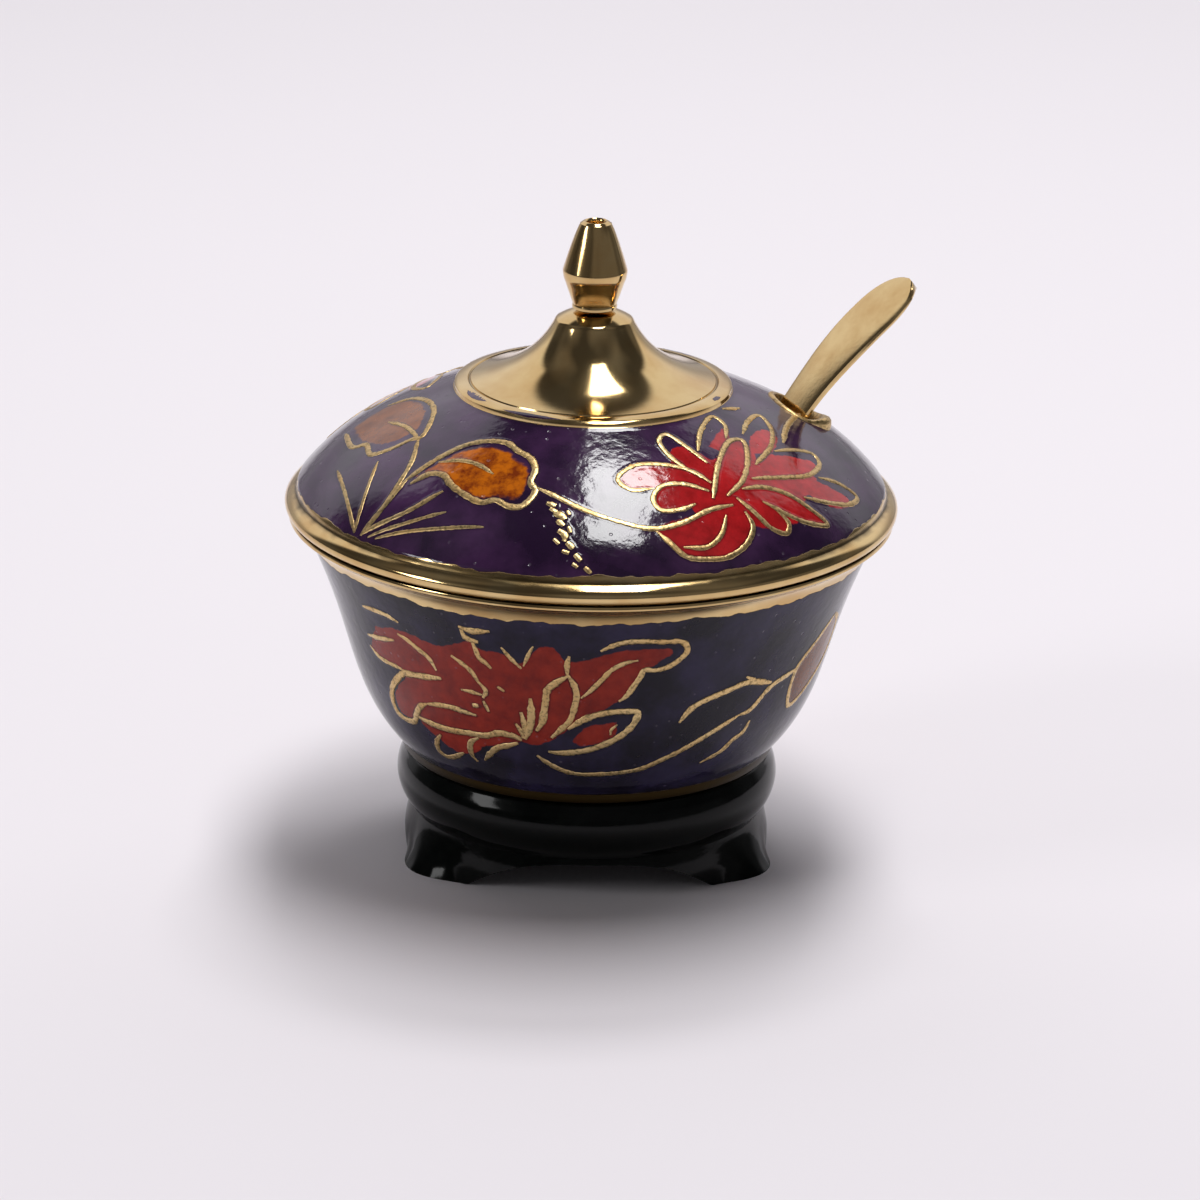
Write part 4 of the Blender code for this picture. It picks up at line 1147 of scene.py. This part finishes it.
def lid_profile():
    """The lid from its cap's middle, down over the dome and band, and back up inside."""
    top = np.array((5.2, 73.3))
    foot = np.array((16.28, 65.0))
    first = between(top, foot, np.array((0.17, 0.45)))
    second = between(top, foot, np.array((0.42, 0.77)))
    bell = []
    for share in np.linspace(0, 1, 40):
        rest = 1.0 - share
        bell.append(tuple(top * rest**3 + first * 3 * rest**2 * share + second * 3 * rest * share**2
                          + foot * share**3))
    crown = []
    for share in np.linspace(0, 1, 72):
        radius = between(FLANGE_RADIUS, CROWN_RADIUS, 1.0 - (1.0 - share) ** 1.2)
        crown.append((radius, float(crown_height(radius))))
    inside = [(radius - 0.6, height - 1.5) for radius, height in crown[::-6] if radius < 34.0]
    return (
        [(0.0, 74.5), (1.5, 74.48), (2.9, 74.42), (3.3, 74.32), (4.1, 74.0), (4.9, 73.58), (5.1, 73.44)]
        + bell
        + [(16.36, 64.80), (16.5, 64.74), (16.62, 64.82), (16.72, 64.95), (17.0, 64.95), (17.5, 64.85),
           (18.0, 64.73), (18.3, 64.62), (18.46, 64.46), (18.52, 64.2), (18.53, 63.98)]
        + crown[1:]
        + [(39.32, 50.3), (39.4, 50.0), (39.47, 49.72), (39.56, 49.56), (39.72, 49.46), (39.95, 49.36),
           (40.25, 49.16), (40.55, 48.9), (40.8, 48.62), (40.94, 48.36), (41.0, 48.1), (40.97, 47.84),
           (40.88, 47.58), (40.72, 47.34), (40.5, 47.2), (38.0, 47.2), (35.6, 47.2), (35.6, 46.0),
           (35.6, 45.0), (34.2, 45.0), (34.2, 47.0), (34.2, 49.0)]
        + inside
        + [(8.0, inside[-1][1] + 0.4), (0.0, inside[-1][1] + 0.6)]
    )


def hole_place(angle, off, rise):
    """Metre points round the spoon's hole: an offset outwards from its edge and a rise above the dome."""
    along = (HOLE_HALF[0] + off) * np.cos(angle)
    across = (HOLE_HALF[1] + off) * np.sin(angle)
    fall = math.atan(float(crown_height(HOLE_DISTANCE - 0.5) - crown_height(HOLE_DISTANCE + 0.5)))
    out = HOLE_DISTANCE + along * math.cos(fall)
    radius = np.hypot(out, across)
    bearing = HOLE_BEARING + np.degrees(np.arctan2(across, out))
    tilt = np.arctan(-slope_of(crown_height, radius))
    return round_the_jar(bearing, radius + rise * np.sin(tilt), crown_height(radius) + rise * np.cos(tilt))


def cut_hole(lid):
    """Cuts the spoon's oval hole through the dome."""
    angles = turn_angles(HOLE_STEPS)
    points = np.vstack([hole_place(angles, 0.25, 4.0), hole_place(angles, 0.25, -6.0)])
    upper = list(range(HOLE_STEPS))
    lower = [HOLE_STEPS + index for index in upper]
    faces = [upper, lower[::-1]] + faces_between([upper, lower])
    cutter = in_scene("hole", closed_mesh("hole", points, faces))
    modifier = lid.modifiers.new("hole", "BOOLEAN")
    modifier.operation = "DIFFERENCE"
    modifier.solver = "MANIFOLD"
    modifier.object = cutter
    lid.data = evaluated_mesh(lid)
    bpy.data.objects.remove(cutter, do_unlink=True)


def lip_mesh(sizes):
    """A rolled brass lip that follows the dome round the hole, with a blob of solder on one side."""
    angles = turn_angles(LIP_STEPS)
    from_blob = (angles - BLOB_ANGLE + np.pi) % math.tau - np.pi
    blob = np.exp(-((from_blob / 0.6) ** 2))
    width_waves = 0.10 * np.sin(3 * angles + 1.0) + 0.06 * np.sin(7 * angles)
    rise_waves = 0.12 * np.sin(2 * angles + 2.0) + 0.08 * np.sin(5 * angles)
    width = sizes.lip_width / MM * (1.0 + width_waves + 1.4 * blob)
    rise = sizes.lip_rise / MM * (1.0 + rise_waves + 3.4 * blob)
    # The lip's section: shares of the width outwards, millimetres of sink, shares of the rise
    section = ((0.0, -1.3, 0), (0.0, -0.4, 0), (0.02, 0.0, 0.45), (0.12, 0.0, 0.78), (0.32, 0.0, 0.97),
               (0.52, 0.0, 1.0), (0.72, 0.0, 0.85), (0.88, 0.0, 0.5), (0.99, 0.0, 0.1), (1.05, -0.3, 0),
               (0.6, -0.9, 0))
    rows = []
    points = []
    for out, sink, up in section:
        rows.append(list(range(len(points), len(points) + LIP_STEPS)))
        points.extend(hole_place(angles, out * width, sink + up * rise).tolist())
    return closed_mesh("spoon_hole_lip", points, faces_between(rows + rows[:1]))


class JAR_OT_finial(bpy.types.Operator):
    """Build the turned finial"""

    bl_idname = "jar.finial"
    bl_label = "Finial"

    def execute(self, context):
        """Turns the knob: two cones that meet at a ridge, with a small hole in the top."""
        material = polished_brass("turned brass finial", context.scene.jar_colours, "turned")
        mesh = turned("turned_finial", finial_profile(), FINIAL_STEPS)
        finial = object_from_mesh("turned_finial", mesh, material)
        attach(finial, "root")
        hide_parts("finial")
        return {"FINISHED"}


def finial_profile():
    """The finial from the floor of its hole, up and over its top edge and down its outer side."""
    upper = []
    for share in np.linspace(0.05, 0.985, 16):
        upper.append((1.86 + 2.44 * share**0.8, between(86.8, 80.1, share)))
    lower = [(4.29, 79.82), (4.2, 79.2), (3.92, 78.4), (3.55, 77.3), (3.16, 76.2), (2.93, 75.55)]
    return (
        [(0.0, 83.8), (0.9, 83.8), (1.15, 84.0), (1.2, 84.3), (1.2, 86.4), (1.25, 86.62), (1.36, 86.74),
         (1.5, 86.79), (1.66, 86.74), (1.82, 86.64), (1.93, 86.54)]
        + upper
        + [(4.3, 80.1), (4.3, 79.95)]
        + [tuple(point) for point in flowing(lower, 0.25)]
        + [(2.96, 75.45), (3.0, 75.3), (2.98, 75.0), (2.8, 74.86), (2.4, 74.8), (0.0, 74.8)]
    )


class JAR_OT_spoon(bpy.types.Operator):
    """Build the brass spoon"""

    bl_idname = "jar.spoon"
    bl_label = "Spoon"

    def execute(self, context):
        """Sweeps the spoon's section along its middle line."""
        material = polished_brass("hammered brass spoon", context.scene.jar_colours, "hammered")
        spoon = object_from_mesh("brass_spoon", spoon_mesh(), material)
        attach(spoon, "root")
        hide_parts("spoon")
        return {"FINISHED"}


def spoon_width(along, inside):
    """Half the spoon's width at a distance from its bowl's tip."""
    shank = eased(*SHANK_WIDTHS, (along / inside - 0.45) / 0.5)
    width = eased(shank, HANDLE_WIDTH, (along - inside) / SPOON_HANDLE / 0.6)
    off_bowl = along / (SPOON_BOWL_LENGTH / 2) - 1.0
    if off_bowl < 1.0:
        bowl = SPOON_BOWL_WIDTH * math.sqrt(1.0 - off_bowl**2)
        width = bowl if off_bowl < 0.0 else max(width, bowl)
    past = (along - inside - SPOON_HANDLE) / SPOON_END + 1.0
    if past > 0.0:
        width *= math.sqrt(max(1.0 - past**2.4, 0.0))
    return max(width, 1.2) / 2


def spoon_line():
    """The spoon's middle line: points and directions in its upright plane, and lengths from the tip."""
    height = float(crown_height(HOLE_DISTANCE))
    inside = (height - SPOON_TIP_HEIGHT) / math.sin(SPOON_LEAN)
    point = np.array((HOLE_DISTANCE - 0.5, height))
    run = np.array((math.cos(SPOON_LEAN), math.sin(SPOON_LEAN)))
    line = [(point + run * (along - inside), run, along) for along in np.linspace(0.0, inside, 70)]
    count = 60
    for index in range(1, count + 1):
        angle = between(SPOON_LEAN, SPOON_END_LEAN, (index - 0.5) / count)
        run = np.array((math.cos(angle), math.sin(angle)))
        point = point + run * (SPOON_HANDLE / count)
        line.append((point, run, inside + SPOON_HANDLE / count * index))
    return line, inside


def spoon_mesh():
    """The spoon: a dished bowl, a straight shank and a handle that curves over, flat on top."""
    line, inside = spoon_line()
    place = Matrix.Rotation(math.radians(HOLE_BEARING + FACING), 3, "Z")
    lanes = 28
    points = []
    rows = []
    for point, run, along in line:
        half = spoon_width(along, inside)
        roll = Matrix.Rotation(SPOON_ROLL, 3, Vector((run[0], 0.0, run[1])))
        side = roll @ Vector((0.0, 1.0, 0.0))
        up = roll @ Vector((-run[1], 0.0, run[0]))
        dish = SPOON_DEPTH * math.sin(math.pi * min(along / SPOON_BOWL_LENGTH, 1.0)) ** 0.8
        rows.append(list(range(len(points), len(points) + lanes)))
        for lane in range(lanes):
            turn = math.tau * lane / lanes
            across = math.cos(turn)
            bow = 1.0 - across * across
            thick = between(0.9, 1.7, bow)
            lift = math.copysign(abs(math.sin(turn)) ** 0.26, math.sin(turn))
            down = dish * bow + thick / 2 - lift * thick / 2
            corner = Vector((point[0], 0.0, point[1])) + side * half * across - up * down
            points.append(tuple((place @ corner) * MM))
    return closed_mesh("brass_spoon", points, faces_between(rows) + [rows[0], rows[-1][::-1]])


class JAR_OT_stage(bpy.types.Operator):
    """Set the floor, the light and the camera"""

    bl_idname = "jar.stage"
    bl_label = "Stage"

    def execute(self, context):
        """Lays a pale floor, hangs a softbox, a back light and a window, and points the camera."""
        stage = context.scene.jar_stage
        corners = [(FLOOR_HALF * x, FLOOR_HALF * y, 0) for x, y in ((-1, -1), (1, -1), (1, 1), (-1, 1))]
        mesh = bpy.data.meshes.new("floor")
        mesh.from_pydata(corners, [], [(0, 1, 2, 3)])
        floor = object_from_mesh("floor", mesh, pale_floor("white paper board", stage.floor))
        set_room(stage.room)
        add_light("softbox", (0.105, 0.062, 1.0), (0.25, 0.67), stage.softbox)
        lamp = add_light("back light", (0.12, 0.62, 1.0), (0.36, 0.24), stage.back_light)
        lamp.visible_glossy = False
        add_light("window", (-1.15, -0.50, 0.52), (0.30, 0.45), stage.window)
        place_camera(stage)
        context.scene.view_settings.view_transform = "Standard"
        return {"FINISHED"}


def from_camera_side(right, back, up):
    """Metres from rightwards, backwards and upwards distances as the camera sees them."""
    return Matrix.Rotation(math.radians(FACING + 90.0), 3, "Z") @ Vector((right, back, up))


def add_light(name, place, size, power):
    """A rectangular light that faces the jar's lid."""
    light = bpy.data.lights.new(name, "AREA")
    light.shape = "RECTANGLE"
    light.size = size[0]
    light.size_y = size[1]
    light.energy = power
    obj = in_scene(name, light)
    target = Vector((0.0, 0.0, LIGHT_TARGET))
    obj.location = target + from_camera_side(*place)
    away = (obj.location - target).normalized()
    right = from_camera_side(1.0, 0.0, 0.0)
    right = (right - away * right.dot(away)).normalized()
    obj.rotation_euler = Matrix((right, away.cross(right), away)).transposed().to_euler()
    return obj


def set_room(strength):
    """A pale sweep behind the jar up to three quarters of the height, and a dim room elsewhere."""
    world = bpy.data.worlds.new("studio")
    bpy.context.scene.world = world
    world.use_nodes = True
    tree = world.node_tree
    ground = tree.nodes["Background"]
    way = add_node(tree, "ShaderNodeTexCoord").outputs["Generated"]
    height = add_node(tree, "ShaderNodeSeparateXYZ", {0: way}).outputs[2]
    behind = from_camera_side(0.0, 1.0, 0.0)
    facing = add_node(tree, "ShaderNodeVectorMath", {0: way, 1: behind}, operation="DOT_PRODUCT")
    level = maths(tree, "SUBTRACT", 1.0, maths(tree, "MULTIPLY", height, height))
    turn = maths(tree, "DIVIDE", facing.outputs["Value"], maths(tree, "POWER", level, 0.5))
    # The sweep ends at a height and at both sides, and is darker where it meets the floor
    low = ramp(tree, height, 0.73, 0.79, 1.0, 0.0, "SMOOTHSTEP")
    back = ramp(tree, turn, 0.53, 0.66, kind="SMOOTHSTEP")
    skirting = ramp(tree, height, 0.12, 0.36, 0.42, 1.0, "SMOOTHSTEP")
    sweep = maths(tree, "MULTIPLY", maths(tree, "MULTIPLY", low, back), skirting)
    dim = ramp(tree, noise(tree, way, 1.5, 1.0), 0.38, 0.62, 0.055, 0.16)
    tree.links.new(mixed(tree, sweep, dim, strength), ground.inputs["Strength"])
    ground.inputs["Color"].default_value = (*linear("#fbf9fd"), 1.0)


def place_camera(stage):
    """A long lens that looks slightly down at the jar, with a small shift for the framing."""
    camera = bpy.data.cameras.new("camera")
    camera.lens = 180.0
    camera.sensor_width = 36.0
    camera.shift_x = 0.00762
    camera.shift_y = -0.0657
    camera.clip_start = 0.01
    camera.clip_end = 20.0
    obj = in_scene("camera", camera)
    target = Vector((0.0, 0.0, CAMERA_TARGET))
    level = stage.distance * math.cos(stage.elevation)
    obj.location = target + from_camera_side(0.0, -level, stage.distance * math.sin(stage.elevation))
    look = (target - obj.location).to_track_quat("-Z", "Y").to_matrix()
    obj.rotation_euler = (look @ Matrix.Rotation(stage.roll, 3, "Z")).to_euler()
    bpy.context.scene.camera = obj


class JAR_PT_parts(bpy.types.Panel):
    """The jar's pieces and settings"""

    bl_label = "Enamelled jar"
    bl_idname = "JAR_PT_parts"
    bl_space_type = "VIEW_3D"
    bl_region_type = "UI"
    bl_category = "Jar"

    def draw(self, context):
        """Lists the operators and the properties."""
        for operator in OPERATORS:
            self.layout.operator(operator.bl_idname)
        for group in ("jar_colours", "jar_sizes", "jar_stage"):
            settings = getattr(context.scene, group)
            for name in settings.__annotations__:
                self.layout.prop(settings, name)


OPERATORS = (JAR_OT_stand, JAR_OT_bowl, JAR_OT_lid, JAR_OT_finial, JAR_OT_spoon, JAR_OT_stage)
CLASSES = (JarColours, JarSizes, JarStage) + OPERATORS + (JAR_PT_parts,)


def register():
    """Adds the classes and the scene's settings."""
    for item in CLASSES:
        bpy.utils.register_class(item)
    bpy.types.Scene.jar_colours = bpy.props.PointerProperty(type=JarColours)
    bpy.types.Scene.jar_sizes = bpy.props.PointerProperty(type=JarSizes)
    bpy.types.Scene.jar_stage = bpy.props.PointerProperty(type=JarStage)


def unregister():
    """Takes the settings and classes away again."""
    del bpy.types.Scene.jar_stage
    del bpy.types.Scene.jar_sizes
    del bpy.types.Scene.jar_colours
    for item in reversed(CLASSES):
        bpy.utils.unregister_class(item)


def main():
    """Builds every piece in order."""
    register()
    bpy.ops.jar.stand()
    bpy.ops.jar.bowl()
    bpy.ops.jar.lid()
    bpy.ops.jar.finial()
    bpy.ops.jar.spoon()
    bpy.ops.jar.stage()


if __name__ == "__main__":
    main()
